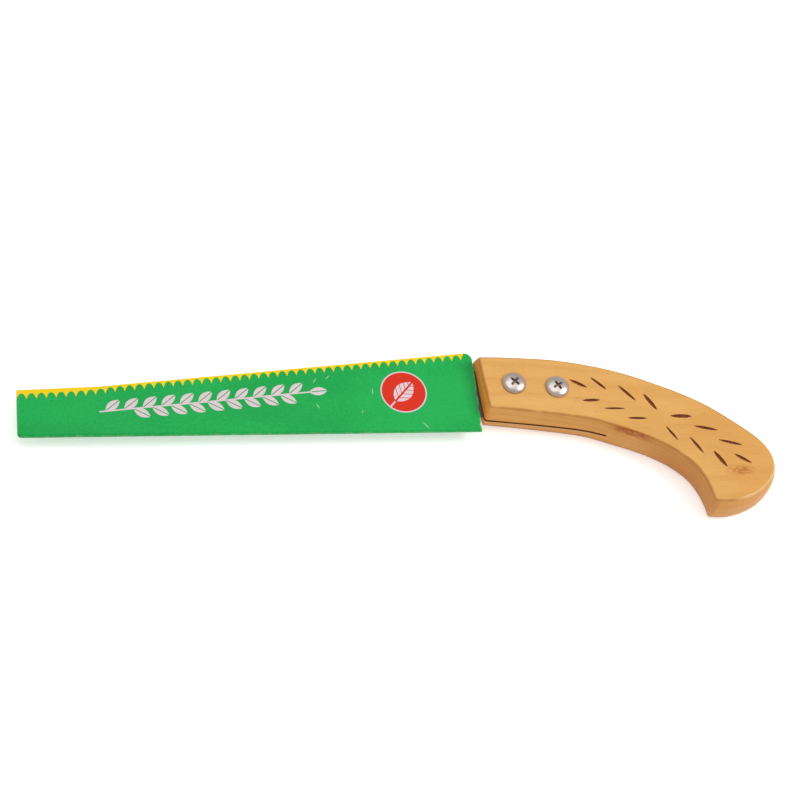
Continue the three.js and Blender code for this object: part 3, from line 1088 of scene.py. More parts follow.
def settle(thing: Thing, modifier: bpy.types.Modifier) -> None:
    """Keep a modifier's result as the object's plain mesh, and remove the modifier.

    Args:
        thing: The object.
        modifier: Its only modifier.
    """
    graph = bpy.context.evaluated_depsgraph_get()
    mesh = bpy.data.meshes.new_from_object(thing.evaluated_get(graph), depsgraph=graph)
    thing.modifiers.remove(modifier)
    old, thing.data = thing.data, mesh
    bpy.data.meshes.remove(old)
    mesh.name = thing.name


def grow(thing: Thing, recipe: Recipe, values: dict[str, object]) -> None:
    """Run a geometry node tree on an object and keep the result as its plain mesh.

    Args:
        thing: The object whose mesh enters the tree.
        recipe: The tree.
        values: Input name to value.
    """
    modifier = thing.modifiers.new("grow", "NODES")
    modifier.node_group = recipe.tree
    for item in recipe.tree.interface.items_tree:
        if item.item_type == "SOCKET" and item.in_out == "INPUT" and item.name in values:
            modifier[item.identifier] = values[item.name]
    settle(thing, modifier)


def subtract(thing: Thing, cutter: Thing) -> None:
    """Cut one object out of another and remove the cutter; cut faces keep the cutter's material.

    Args:
        thing: The object that is cut.
        cutter: The object that cuts it.
    """
    modifier = thing.modifiers.new("cut", "BOOLEAN")
    modifier.operation = "DIFFERENCE"
    modifier.solver = "EXACT"
    modifier.use_self = True
    modifier.material_mode = "TRANSFER"
    modifier.object = cutter
    settle(thing, modifier)
    discard(cutter)


def hand_over(thing: Thing, body: Body, slot: Slot, *nodes: str) -> None:
    """Put a finished piece on its body in place of its CAD nodes, and log it.

    Args:
        thing: The piece.
        body: The body that it rides on.
        slot: Its material slot; not used.
        *nodes: The CAD nodes that it replaces.
    """
    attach(thing, body.value)
    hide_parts(*nodes)
    count = len(thing.data.polygons)
    LOG.info("%s: %d faces, on %s, for %s", thing.name, count, body.value, ", ".join(nodes))


# ---- Curves ----


def spline(points: Sequence[tuple[float, float]], spacing: float) -> np.ndarray:
    """Run a smooth curve through points and sample it evenly.

    Args:
        points: The points, in order.
        spacing: Wanted distance between samples.

    Returns:
        Samples from the first point to the last.
    """
    p = np.array(points, float)
    padded = np.vstack([p[:1], p, p[-1:]])
    t = np.linspace(0, 1, 40, endpoint=False)[:, None]
    pieces = []
    for i in range(len(p) - 1):
        a, b, c, d = padded[i : i + 4]
        slope_b, slope_c = (c - a) / 2, (d - b) / 2
        cubic = 2 * b - 2 * c + slope_b + slope_c
        square = -3 * b + 3 * c - 2 * slope_b - slope_c
        pieces.append(cubic * t**3 + square * t**2 + slope_b * t + b)
    dense = np.vstack([*pieces, p[-1:]])
    return resample(soften(dense, 60), spacing)


def soften(line: np.ndarray, passes: int) -> np.ndarray:
    """Average each inner point with its neighbours, with the ends kept.

    Args:
        line: The points.
        passes: How many times.

    Returns:
        The softened line.
    """
    line = line.copy()
    for _ in range(passes):
        line[1:-1] += 0.25 * (line[:-2] + line[2:] - 2 * line[1:-1])
    return line


def resample(line: np.ndarray, spacing: float) -> np.ndarray:
    """Space a line's points evenly.

    Args:
        line: The points.
        spacing: Wanted distance between them.

    Returns:
        The new points, from the same first one to the same last one.
    """
    lengths = np.concatenate([[0], np.cumsum(np.linalg.norm(np.diff(line, axis=0), axis=1))])
    count = max(2, round(lengths[-1] / spacing) + 1)
    at = np.linspace(0, lengths[-1], count)
    return np.column_stack([np.interp(at, lengths, line[:, k]) for k in range(line.shape[1])])


def bend(start: Sequence[float], corner: Sequence[float], end: Sequence[float]) -> np.ndarray:
    """Round a corner with a quadratic curve.

    Args:
        start: Where the curve starts.
        corner: The sharp corner that it leans into.
        end: Where it ends.

    Returns:
        Nine points.
    """
    t = np.linspace(0, 1, 9)[:, None]
    a, b, c = np.array(start), np.array(corner), np.array(end)
    return (1 - t) ** 2 * a + 2 * t * (1 - t) * b + t**2 * c


def left_normals(line: np.ndarray) -> np.ndarray:
    """Unit normals on the left of a line's direction of travel.

    Args:
        line: The points.

    Returns:
        One normal per point.
    """
    tangent = np.gradient(line, axis=0)
    tangent /= np.linalg.norm(tangent, axis=1)[:, None]
    return np.column_stack([-tangent[:, 1], tangent[:, 0]])


def crossing(p: np.ndarray, u: np.ndarray, q: np.ndarray, v: np.ndarray) -> np.ndarray:
    """Point where the line through p along u meets the line through q along v."""
    share = np.linalg.solve(np.column_stack([u, -v]), q - p)
    return p + share[0] * u


# ---- Grip ----


@dataclass
class Grip:
    """The one-piece wooden pistol grip with its slot, bores and carved cuts."""

    effects: Effects
    screws: Sequence[tuple[float, float]]
    thickness: float
    swell: float = 2.0
    front_swell: tuple[float, float] = (1.95, 0.7)
    lean: float = 2.2
    lean_start: float = 42.0
    lean_full: float = 78.0
    crown: float = 2.6
    edge_break: float = 0.8
    flat_rim: float = 0.9
    facet_front: float = 3.6
    facet_end: float = 2.6
    sharp_angle: float = 32.0
    crease_x: float = 35.0
    crease_lean: float = 7.0
    spacing: float = 0.6
    slot_width: float = 1.8
    slot_mouth: tuple[float, float, float] = (-50.0, -34.0, 17.0)
    slot_run_out: tuple[tuple[float, float], ...] = ((26, 13), (34, 4), (39, -10), (41, -34))
    bore_radius: float = 2.8
    pocket_radius: float = 5.8
    pocket_depth: float = 6.0
    cut_depth: float = 0.7
    cut_stretch: float = 1.1
    cut_widening: float = 1.15
    cut_raggedness: float = 0.42
    back: tuple[tuple[float, float], ...] = (
        (-30.9, 18.9), (-12, 18.4), (18, 16), (49, 8.8), (77, -2.1), (98, -12.8), (117, -27), (129.5, -39),
        (133.9, -50), (130.5, -61), (120, -70.4), (106, -75), (94.4, -74.6),
    )
    underside: tuple[tuple[float, float], ...] = (
        (94.4, -74.6), (92.3, -64), (87, -52.4), (77, -42.6), (63, -34.1), (49, -28.2), (29, -21.6), (0, -17),
        (-28.1, -13.4),
    )
    # Each cut was made by hand: x and y of its middle, its length, its direction in degrees and its width.
    cuts: tuple[tuple[float, float, float, float, float], ...] = (
        (25.5, 1, 10.5, -29, 1.7), (37.5, 1, 11, -44, 1.5), (53.5, -5.5, 13, -48, 1.6),
        (66.5, -11.5, 11.5, -59, 2.1), (31.5, -10, 10, 1, 1.6), (44.5, -15.5, 12, -1, 1.1),
        (57, -22, 11, -2, 1.3), (83.5, -21, 12, -2, 2.1), (97, -29, 13.5, -12, 1.6),
        (110, -38.5, 13.5, -15, 1.5), (115.5, -49, 10.5, -33, 1.7), (76, -32, 10, -58, 1.3),
        (89.5, -40, 11.5, -59, 1.5), (102, -49, 11.5, -58, 2.1),
    )

    def __post_init__(self) -> None:
        """Sample the three stretches of the face's edge, clockwise from the front's top corner."""
        self.stretches = [
            spline(self.back, self.spacing),
            spline(self.underside, self.spacing),
            resample(np.array([self.underside[-1], self.back[0]], float), self.spacing),
        ]
        self.normals = [left_normals(line) for line in self.stretches]

    def ring(self, offsets: Sequence[np.ndarray], height: float) -> np.ndarray:
        """Move the three stretches outwards and join them with mitred, lightly rounded corners.

        Args:
            offsets: Outward distance of each point, for each stretch.
            height: The ring's z.

        Returns:
            The ring's points, anticlockwise from above.
        """
        moved = [
            line + normal * offset[:, None]
            for line, normal, offset in zip(self.stretches, self.normals, offsets)
        ]
        for i, line in enumerate(moved):
            after = moved[(i + 1) % 3]
            corner = crossing(line[-1], line[-1] - line[-2], after[0], after[1] - after[0])
            fade = np.linspace(0, 1, 10) ** 2
            line[-10:] += fade[:, None] * (corner - line[-1])
            after[:10] += fade[::-1, None] * (corner - after[0])
        loop = np.vstack([line[:-1] for line in moved])
        for _ in range(3):
            loop += 0.25 * (np.roll(loop, 1, axis=0) + np.roll(loop, -1, axis=0) - 2 * loop)
        loop = loop[::-1]
        share = np.clip((loop[:, 0] - self.lean_start) / (self.lean_full - self.lean_start), 0, 1)
        loop[:, 0] += self.lean * (1 - height / self.thickness) * share * share * (3 - 2 * share)
        return np.column_stack([loop, np.full(len(loop), height)])

    def side_offsets(self, height: float) -> list[np.ndarray]:
        """Outward swell of each stretch at a height: crowned sides, with flat facets beside the blade's slot.

        Args:
            height: The z where the side is cut.

        Returns:
            The offset of each point of each stretch.
        """
        level = abs(2 * height / self.thickness - 1)
        crown = 1 - level**self.crown
        start = self.back[0][0]
        offsets = []
        for line in self.stretches[:2]:
            x = line[:, 0]
            run = (x - start) / (self.crease_x - start)
            facet = (self.facet_front + (self.facet_end - self.facet_front) * run) * (1 - level)
            share = np.clip((self.crease_x + self.crease_lean * (1 - level) - x) / 2.5 + 0.5, 0, 1)
            share = share * share * (3 - 2 * share)
            offsets.append(self.swell * crown * (1 - share) + facet * share)
        offsets.append(np.linspace(*self.front_swell, len(self.stretches[2])) * crown)
        return offsets

    def rim(self, height: float, sign: float) -> list[tuple[np.ndarray, float]]:
        """Rings of one broken edge and the start of the flat face, from the side inwards.

        Args:
            height: Where the edge leaves the side.
            sign: 1 for the front face and -1 for the back face.

        Returns:
            Each ring with its nearness to the edge.
        """
        r = self.edge_break
        base = self.side_offsets(height)
        arc = np.radians(np.linspace(0, 90, 6))
        steps = [(r - r * math.cos(a), r * math.sin(a), 1.0) for a in arc]
        steps += [(r + 0.4, r, 0.4), (r + self.flat_rim, r, 0.0)]
        return [
            (self.ring([offset - inset for offset in base], height + sign * rise), near)
            for inset, rise, near in steps
        ]

    def block(self) -> Thing:
        """Loft the uncut block through rings from the back face to the front face.

        Returns:
            The block, with the nearness to its edges painted on.
        """
        low, high = self.edge_break, self.thickness - self.edge_break
        stack = self.rim(low, -1.0)[::-1]
        stack += [(self.ring(self.side_offsets(z), z), 0.0) for z in np.linspace(low, high, 17)[1:-1]]
        stack += self.rim(high, 1.0)
        finishes = [self.wood, self.charred, self.sawn]
        block = make_piece("wooden_grip", *loft([points for points, _ in stack]), finishes)
        paint_value(block, "edge", np.concatenate([np.full(len(points), near) for points, near in stack]))
        return block

    def bores(self) -> Thing:
        """Make one cutter for the slot, the screw bores and the nut pockets.

        Returns:
            The cutter.
        """
        bodies = []
        for x, y in self.screws:
            ends = ((self.bore_radius, self.thickness + 1), (self.pocket_radius, self.pocket_depth))
            for radius, high in ends:
                points, sides = revolve([(radius, -1.0), (radius, high)], BORE_SIDES)
                bodies.append((points + (x, y, 0), sides))
        run_out = spline(self.slot_run_out, 1.5)
        mouth_x, low, high = self.slot_mouth
        plan = np.vstack([[(mouth_x, low)], run_out[::-1], [(mouth_x, high)]])
        levels = [self.thickness / 2 + side * self.slot_width / 2 for side in (-1, 1)]
        bodies.append(loft([np.column_stack([plan, np.full(len(plan), level)]) for level in levels]))
        return make_piece("grip_bores", *together(bodies), [self.sawn])

    def cut_marks(self) -> Thing:
        """Make one point for each carved cut, with its length, direction and width painted on.

        Returns:
            The points, as an object.
        """
        x, y, length, degrees, width = np.array(self.cuts, float).T
        marks = make_piece("cut_marks", np.column_stack([x, y, np.full(len(x), self.thickness)]), [], [])
        paint_value(marks, "cut_length", length * self.cut_stretch * MM)
        paint_value(marks, "cut_width", width * self.cut_widening * MM)
        paint_value(marks, "cut_direction", np.radians(degrees))
        return marks

    def carving_tree(self) -> Recipe:
        """Build the node tree that gouges a leaf-shaped cut at every mark.

        Returns:
            The tree, with inputs Marks, Depth, Raggedness and Finish.
        """
        tree = Recipe("carved cuts", {"Marks": "Object", "Depth": "Float", "Raggedness": "Float"})
        sizes = {"Vertices": 14, "Side Segments": 18, "Radius": 0.5, "Depth": 1.0}
        stick = tree.add("GeometryNodeMeshCylinder", sizes, fill_type="TRIANGLE_FAN").outputs["Mesh"]
        place = tree.add("GeometryNodeInputPosition").outputs[0]
        x, y, z = tree.axes(place)
        share = tree.math("ABSOLUTE", tree.product(z, 2.0))
        narrow = tree.math("SUBTRACT", 1.0, tree.math("POWER", share, 2.8))
        shaped = tree.vector(z, tree.product(y, narrow), tree.product(x, narrow))
        leaf = tree.add("GeometryNodeSetPosition", {"Geometry": stick, "Position": shaped})
        leaf = tree.add("GeometryNodeFlipFaces", {0: leaf.outputs[0]})
        leaf = tree.add("GeometryNodeMergeByDistance", {"Geometry": leaf.outputs[0], "Distance": 1e-4})
        deep = tree.product(tree.inputs["Depth"], 2.0)
        size = tree.vector(tree.painted("cut_length"), tree.painted("cut_width"), deep)
        turn = tree.vector(0.0, 0.0, tree.painted("cut_direction"))
        gouges = tree.at_marks(leaf.outputs[0], Rotation=turn, Scale=size)
        tear = {"Vector": place, "Scale": 1600.0, "Detail": 1.0}
        tear = {0: tree.add("ShaderNodeTexNoise", tear).outputs["Color"], 1: (0.5, 0.5, 0.5)}
        tear = {0: tree.add("ShaderNodeVectorMath", tear, operation="SUBTRACT").outputs[0]}
        tear[3] = tree.inputs["Raggedness"]
        tear = tree.add("ShaderNodeVectorMath", tear, operation="SCALE").outputs[0]
        gouges = tree.add("GeometryNodeSetPosition", {"Geometry": gouges, "Offset": tear}).outputs[0]
        flag = {"Geometry": gouges, "Name": "carved", "Value": 1.0}
        flag = tree.add("GeometryNodeStoreNamedAttribute", flag, data_type="FLOAT", domain="FACE").outputs[0]
        tree.finish(tree.cut(flag, False), tree.math("GREATER_THAN", tree.painted("carved"), 0.5))
        return tree

    def build(self) -> None:
        """Loft, bore, carve and dress the grip."""
        self.wood = LacqueredWood(self.effects, self.thickness).material()
        self.charred = BareWood(self.effects, "charred cut", "581C0C", "96461E").material()
        self.sawn = BareWood(self.effects, "sawn wood", "7A4A22", "B98450").material()
        grip = self.block()
        subtract(grip, self.bores())
        marks = self.cut_marks()
        sizes = {"Depth": self.cut_depth * MM, "Raggedness": self.cut_raggedness * MM}
        grow(grip, self.carving_tree(), {"Marks": marks, "Finish": self.charred, **sizes})
        discard(marks)
        shade(grip, self.sharp_angle)
        hand_over(grip, Body.SAW, Slot.WOOD, "handle")


# ---- Blade ----


@dataclass
class Blade:
    """The ground steel blade with filed and set teeth."""

    effects: Effects
    outline: SleeveOutline
    screws: Sequence[tuple[float, float]]
    plane: float
    thickness: float = 1.2
    pitch: float = 4.0
    depth: float = 3.0
    teeth: int = 60
    set_width: float = 0.3
    fleam: float = 15.0
    tip_clearance: float = 2.0
    spare: float = 0.45
    heel_x: float = -35.0
    toe_x: float = -288.5
    back_y: float = -21.6
    toe_round: float = 9.0
    tang_top: float = 13.4
    tang_bottom: float = -16.0
    tang_slope: float = -0.05
    tang_end: float = 23.0
    chamfer: float = 0.12
    hole_radius: float = 2.8
    sharp_angle: float = 25.0

    @property
    def first_gullet(self) -> float:
        """Place of the gullet next to the heel."""
        return self.heel_x - 5

    def tips(self, x: np.ndarray | float) -> np.ndarray:
        """Height of the tooth tips at x."""
        return self.outline.edge(x) - self.tip_clearance

    def tang_edge(self, level: float, x: float) -> float:
        """Height at x of the tang's edge whose height at x = 0 is given."""
        return level + self.tang_slope * x

    def plan(self) -> np.ndarray:
        """Outline of the blank before the teeth are filed.

        Returns:
            Corner points, anticlockwise from above, starting at the tang's lower corner.
        """
        heel, toe, end, back, r = self.heel_x, self.toe_x, self.tang_end, self.back_y, self.toe_round
        last = self.first_gullet - self.teeth * self.pitch
        end_low, end_high = self.tang_edge(self.tang_bottom, end), self.tang_edge(self.tang_top, end)
        heel_low, heel_high = self.tang_edge(self.tang_bottom, heel), self.tang_edge(self.tang_top, heel)
        top_start = float(self.tips(heel - 2)) - self.depth
        toe_top = float(self.tips(last)) - self.depth
        tooth_x = np.linspace(self.first_gullet, last, 60)
        parts = [
            bend((end - 6, end_low), (end, end_low), (end, end_low + 6)),
            bend((end, end_high - 6), (end, end_high), (end - 6, end_high)),
            bend((heel + 5, heel_high), (heel, heel_high), (heel, heel_high + 5)),
            bend((heel, top_start - 2), (heel, top_start), (heel - 2, top_start)),
            [(self.first_gullet, float(self.tips(self.first_gullet)) - self.depth)],
            np.column_stack([tooth_x, self.tips(tooth_x) + self.spare]),
            bend((last, toe_top), (toe, toe_top), (toe, toe_top - r)),
            bend((toe, back + r), (toe, back), (toe + r, back)),
            bend((heel - 6, back), (heel, back), (heel + 3, heel_low)),
        ]
        return np.vstack(parts)

    def blank(self) -> Thing:
        """Make the flat blank with lightly broken edges.

        Returns:
            The blank.
        """
        plan = self.plan()
        tangent = np.roll(plan, -1, axis=0) - np.roll(plan, 1, axis=0)
        tangent /= np.linalg.norm(tangent, axis=1)[:, None]
        inward = np.column_stack([-tangent[:, 1], tangent[:, 0]])
        half, c = self.thickness / 2, self.chamfer
        levels = [(-half, c), (-half + c, 0.0), (half - c, 0.0), (half, c)]
        middle = np.full(len(plan), self.plane)
        rings = [np.column_stack([plan + inward * inset, middle + z]) for z, inset in levels]
        return make_piece("blade", *loft(rings), [self.steel])

    def filing_tree(self) -> Recipe:
        """Build the node tree that files a gullet at every mark, leaning in turn to the two sides.

        Returns:
            The tree, with inputs Marks, Pitch, Depth, Fleam and Finish.
        """
        sizes = dict.fromkeys(("Pitch", "Depth", "Fleam"), "Float")
        tree = Recipe("filed teeth", {"Marks": "Object", **sizes})
        sizes = {"Vertices": 3, "Side Segments": 1, "Radius": 1.0, "Depth": 1.0}
        file = tree.add("GeometryNodeMeshCylinder", sizes, fill_type="NGON").outputs["Mesh"]
        x, y, z = tree.axes(tree.add("GeometryNodeInputPosition").outputs[0])
        wide = tree.product(y, tree.inputs["Pitch"], 1 / math.sqrt(3) * 2)
        high = tree.product(tree.math("SUBTRACT", 1.0, x), tree.inputs["Depth"], 4 / 3)
        shaped = tree.vector(wide, high, tree.product(z, 0.012))
        file = tree.add("GeometryNodeSetPosition", {"Geometry": file, "Position": shaped}).outputs[0]
        lean = tree.product(tree.painted("side"), tree.inputs["Fleam"])
        tree.finish(tree.cut(tree.at_marks(file, Rotation=tree.vector(0.0, lean, 0.0)), True))
        return tree

    def file_marks(self) -> Thing:
        """Make one point at the bottom of each gullet, with the side that the file leans to.

        Returns:
            The points, as an object.
        """
        number = np.arange(self.teeth + 1)
        x = self.first_gullet - number * self.pitch
        points = np.column_stack([x, self.tips(x) - self.depth, np.full(len(x), self.plane)])
        marks = make_piece("file_marks", points, [], [])
        paint_value(marks, "side", np.where(number % 2, 1.0, -1.0))
        return marks

    def lean_teeth(self, blade: Thing) -> None:
        """Bend each tooth sideways, in turn to the two sides, and paint the teeth's nearness to an edge.

        Args:
            blade: The filed blade.
        """
        mesh = blade.data
        flat = np.zeros(len(mesh.vertices) * 3, np.float32)
        mesh.vertices.foreach_get("co", flat)
        place = flat.reshape(-1, 3) / MM
        root = self.tips(place[:, 0]) - self.depth
        rise = np.clip((place[:, 1] - root) / self.depth, 0, 1.15)
        tooth = np.floor((self.first_gullet - place[:, 0]) / self.pitch)
        side = np.where(tooth % 2, 1.0, -1.0)
        inside = (tooth >= 0) & (tooth < self.teeth)
        place[:, 2] += np.where(inside, side * self.set_width * rise, 0)
        mesh.vertices.foreach_set("co", (place * MM).astype(np.float32).ravel())
        mesh.update()
        paint_value(blade, "edge", np.where(inside, rise, 0))

    def build(self) -> None:
        """Blank, bore, file, set and dress the blade."""
        # The blade takes painted shade at its heel, next to the grip.
        self.steel = Metal(
            self.effects, "blade steel", "D4D6D9", "9EA2A8", 0.3, 60.0, 0.22, 0.02, heel_shade_from=self.heel_x
        ).material()
        blade = self.blank()
        for x, y in self.screws:
            points, faces = revolve([(self.hole_radius, self.plane + rise) for rise in (-3, 3)], BORE_SIDES)
            subtract(blade, make_piece("hole", points + (x, y, 0), faces, [self.steel]))
        marks = self.file_marks()
        sizes = {"Pitch": self.pitch * MM, "Depth": self.depth * MM, "Fleam": math.radians(self.fleam)}
        grow(blade, self.filing_tree(), {"Marks": marks, "Finish": self.steel, **sizes})
        discard(marks)
        self.lean_teeth(blade)
        shade(blade, self.sharp_angle)
        hand_over(blade, Body.SAW, Slot.BLADE, "saw_blade")


# ---- Fasteners ----


@dataclass
class Fasteners:
    """The two truss-head screws with their washers and nuts."""

    effects: Effects
    screws: Sequence[tuple[float, float]]
    thickness: float
    recess_turns: tuple[float, float] = (45.0, 30.0)
    head_radius: float = 6.8
    head_height: float = 2.9
    rim_height: float = 0.55
    seat_gap: float = 0.1
    shank_radius: float = 2.5
    tip_z: float = 0.6
    thread_pitch: float = 0.8
    thread_length: float = 9.0
    recess_span: float = 7.5
    recess_slot: float = 1.5
    recess_depth: float = 1.8
    pocket_depth: float = 6.0
    washer_radius: float = 5.0
    washer_height: float = 1.0
    nut_flats: float = 8.0
    nut_height: float = 4.0
    bore_radius: float = 2.8

    def recess(self, top: float, turn: float) -> Thing:
        """Make the tapered cross that is punched into a screw head.

        Args:
            top: Height of the head's crown.
            turn: Angle of the cross, in degrees.

        Returns:
            The cutter.
        """
        bars = []
        for bar in (0, 90):
            angle = math.radians(turn + bar)
            along = np.array([math.cos(angle), math.sin(angle), 0.0]) * self.recess_span
            aside = np.array([-math.sin(angle), math.cos(angle), 0.0]) * self.recess_slot
            rings = []
            for long_share, wide_share, z in ((0.18, 0.36, -self.recess_depth), (0.5, 0.5, 0.3)):
                u, v = along * long_share, aside * wide_share
                rings.append(np.array([-u - v, u - v, u + v, v - u]) + (0, 0, top + z))
            bars.append(loft(rings))
        return make_piece("recess", *together(bars), [self.shadow])

    def thread_tree(self) -> Recipe:
        """Build the node tree that winds a thread round a shank.

        Returns:
            The tree, with inputs Radius, Pitch, Length, Start and Finish.
        """
        names = ("Radius", "Pitch", "Length")
        tree = Recipe("screw thread", {**dict.fromkeys(names, "Float"), "Start": "Vector"})
        radius, pitch, length = (tree.inputs[name] for name in names)
        sizes = {"Start Radius": radius, "End Radius": radius, "Height": length, "Resolution": 28}
        turns = tree.math("DIVIDE", length, pitch)
        helix = tree.add("GeometryNodeCurveSpiral", {"Rotations": turns, **sizes}).outputs[0]
        ridge = tree.add("GeometryNodeCurvePrimitiveCircle", {"Resolution": 4}, mode="RADIUS")
        tree.feed(ridge.inputs["Radius"], tree.product(pitch, 0.42))
        sweep = {"Curve": helix, "Profile Curve": ridge.outputs[0], "Fill Caps": True}
        coil = tree.add("GeometryNodeCurveToMesh", sweep).outputs[0]
        move = {"Geometry": coil, "Translation": tree.inputs["Start"]}
        coil = tree.add("GeometryNodeTransform", move).outputs[0]
        both = tree.add("GeometryNodeJoinGeometry")
        for part in (coil, tree.inputs["Geometry"]):
            tree.feed(both.inputs[0], part)
        tree.finish(both.outputs[0])
        return tree

    def screw(self, name: str, place: tuple[float, float], turn: float, thread: Recipe) -> Thing:
        """Make one screw.

        Args:
            name: The piece's name.
            place: Its axis, as x and y.
            turn: Angle of its cross recess, in degrees.
            thread: The thread's node tree.

        Returns:
            The screw.
        """
        seat = self.thickness + self.seat_gap
        r, h, shank, core = self.head_radius, self.head_height, self.shank_radius, self.shank_radius - 0.32
        tip, rim, thread_end = self.tip_z, self.rim_height, self.tip_z + self.thread_length
        arc = np.radians(np.linspace(8, 86, 16))
        profile = [
            (core - 0.5, tip), (core, tip + 0.5), (core, thread_end), (shank, thread_end + 0.4),
            (shank, seat - 0.3), (shank + 0.2, seat), (r - 0.15, seat), (r, seat + 0.2),
            (r, seat + rim - 0.05),
            *((r * math.cos(a), seat + rim + (h - rim) * math.sin(a)) for a in arc),
        ]
        points, faces = revolve(profile, 96)
        screw = make_piece(name, points + (*place, 0), faces, [self.plate])
        grow(screw, thread, {
            "Radius": (shank - 0.3) * MM, "Pitch": self.thread_pitch * MM,
            "Length": (self.thread_length - 0.8) * MM, "Finish": self.plate,
            "Start": (place[0] * MM, place[1] * MM, (tip + 0.4) * MM),
        })
        cutter = self.recess(seat + h, turn)
        cutter.data.transform(Matrix.Translation((place[0] * MM, place[1] * MM, 0)))
        subtract(screw, cutter)
        shade(screw, 38)
        return screw

    def pierced(
        self, name: str, place: tuple[float, float], loop: Sequence[tuple], sides: int, crease: float
    ) -> Thing:
        """Turn a closed profile about a screw's axis into a ring.

        Args:
            name: The piece's name.
            place: The axis, as x and y.
            loop: Radius and height pairs, closing on themselves, up the outside and down the hole; a radius
                may be a row with one for each side.
            sides: Facets round the axis.
            crease: Edges sharper than this many degrees stay crisp.

        Returns:
            The ring.
        """
        angles = np.arange(sides) * 2 * math.pi / sides
        x, y, level = np.cos(angles), np.sin(angles), np.ones(sides)
        rings = [np.column_stack([radius * x, radius * y, height * level]) for radius, height in loop]
        faces = list(ring_quads(0, len(loop), sides))
        last = (len(loop) - 1) * sides
        faces += [(last + i, last + (i + 1) % sides, (i + 1) % sides, i) for i in range(sides)]
        ring = make_piece(name, np.vstack(rings) + (*place, 0), faces, [self.zinc])
        shade(ring, crease)
        return ring

    def washer(self, name: str, place: tuple[float, float]) -> Thing:
        """Make one flat washer with rounded rims.

        Args:
            name: The piece's name.
            place: Its axis, as x and y.

        Returns:
            The washer.
        """
        top = self.pocket_depth - self.seat_gap
        low, r, hole, b = top - self.washer_height, self.washer_radius, self.bore_radius, 0.15
        loop = [
            (r - b, low), (r, low + b), (r, top - b), (r - b, top),
            (hole + b, top), (hole, top - b), (hole, low + b), (hole + b, low),
        ]
        return self.pierced(name, place, loop, 64, 40)

    def nut(self, name: str, place: tuple[float, float]) -> Thing:
        """Make one hexagon nut with chamfered corners.

        Args:
            name: The piece's name.
            place: Its axis, as x and y.

        Returns:
            The nut.
        """
        low = self.pocket_depth - self.washer_height - self.nut_height - 2 * self.seat_gap
        top, flat, hole, sides = low + self.nut_height, self.nut_flats / 2, self.bore_radius, 72
        angles = np.arange(sides) * 2 * math.pi / sides
        hexagon = flat / np.cos((angles + math.pi / 6) % (math.pi / 3) - math.pi / 6)
        shoulder = np.minimum(hexagon, flat * 1.04)
        loop = [
            (flat * 0.97, low), (shoulder, low + 0.2), (hexagon, low + 0.62), (hexagon, top - 0.62),
            (shoulder, top - 0.2), (flat * 0.97, top), (hole + 0.35, top), (hole, top - 0.35),
            (hole, low + 0.35), (hole + 0.35, low),
        ]
        return self.pierced(name, place, loop, sides, 24)

    def build(self) -> None:
        """Make and dress both sets."""
        self.plate = Metal(self.effects, "plated screw", "DDD2CC", "B0A49E", 0.26, 0.9, 0.5, 0.02).material()
        self.zinc = Metal(self.effects, "zinc plate", "C9CCD0", "8F959C", 0.34, 1.2, 0.6, 0.03).material()
        # Painted shade: the cross recesses take a dark steel, standing in for the shade inside them.
        self.shadow = Metal(self.effects, "recess steel", "B09C90", "6C5A50", 0.5, 0.6, 0.4, 0.05).material()
        thread = self.thread_tree()
        for end, place, turn in zip(("front", "rear"), self.screws, self.recess_turns):
            screw = self.screw(f"{end}_screw_head", place, turn, thread)
            hand_over(screw, Body.SAW, Slot.SCREW, f"{end}_screw")
            hand_over(self.washer(f"{end}_washer_ring", place), Body.SAW, Slot.ZINC, f"{end}_washer")
            hand_over(self.nut(f"{end}_hex_nut", place), Body.SAW, Slot.ZINC, f"{end}_nut")


# ---- Sheath ----


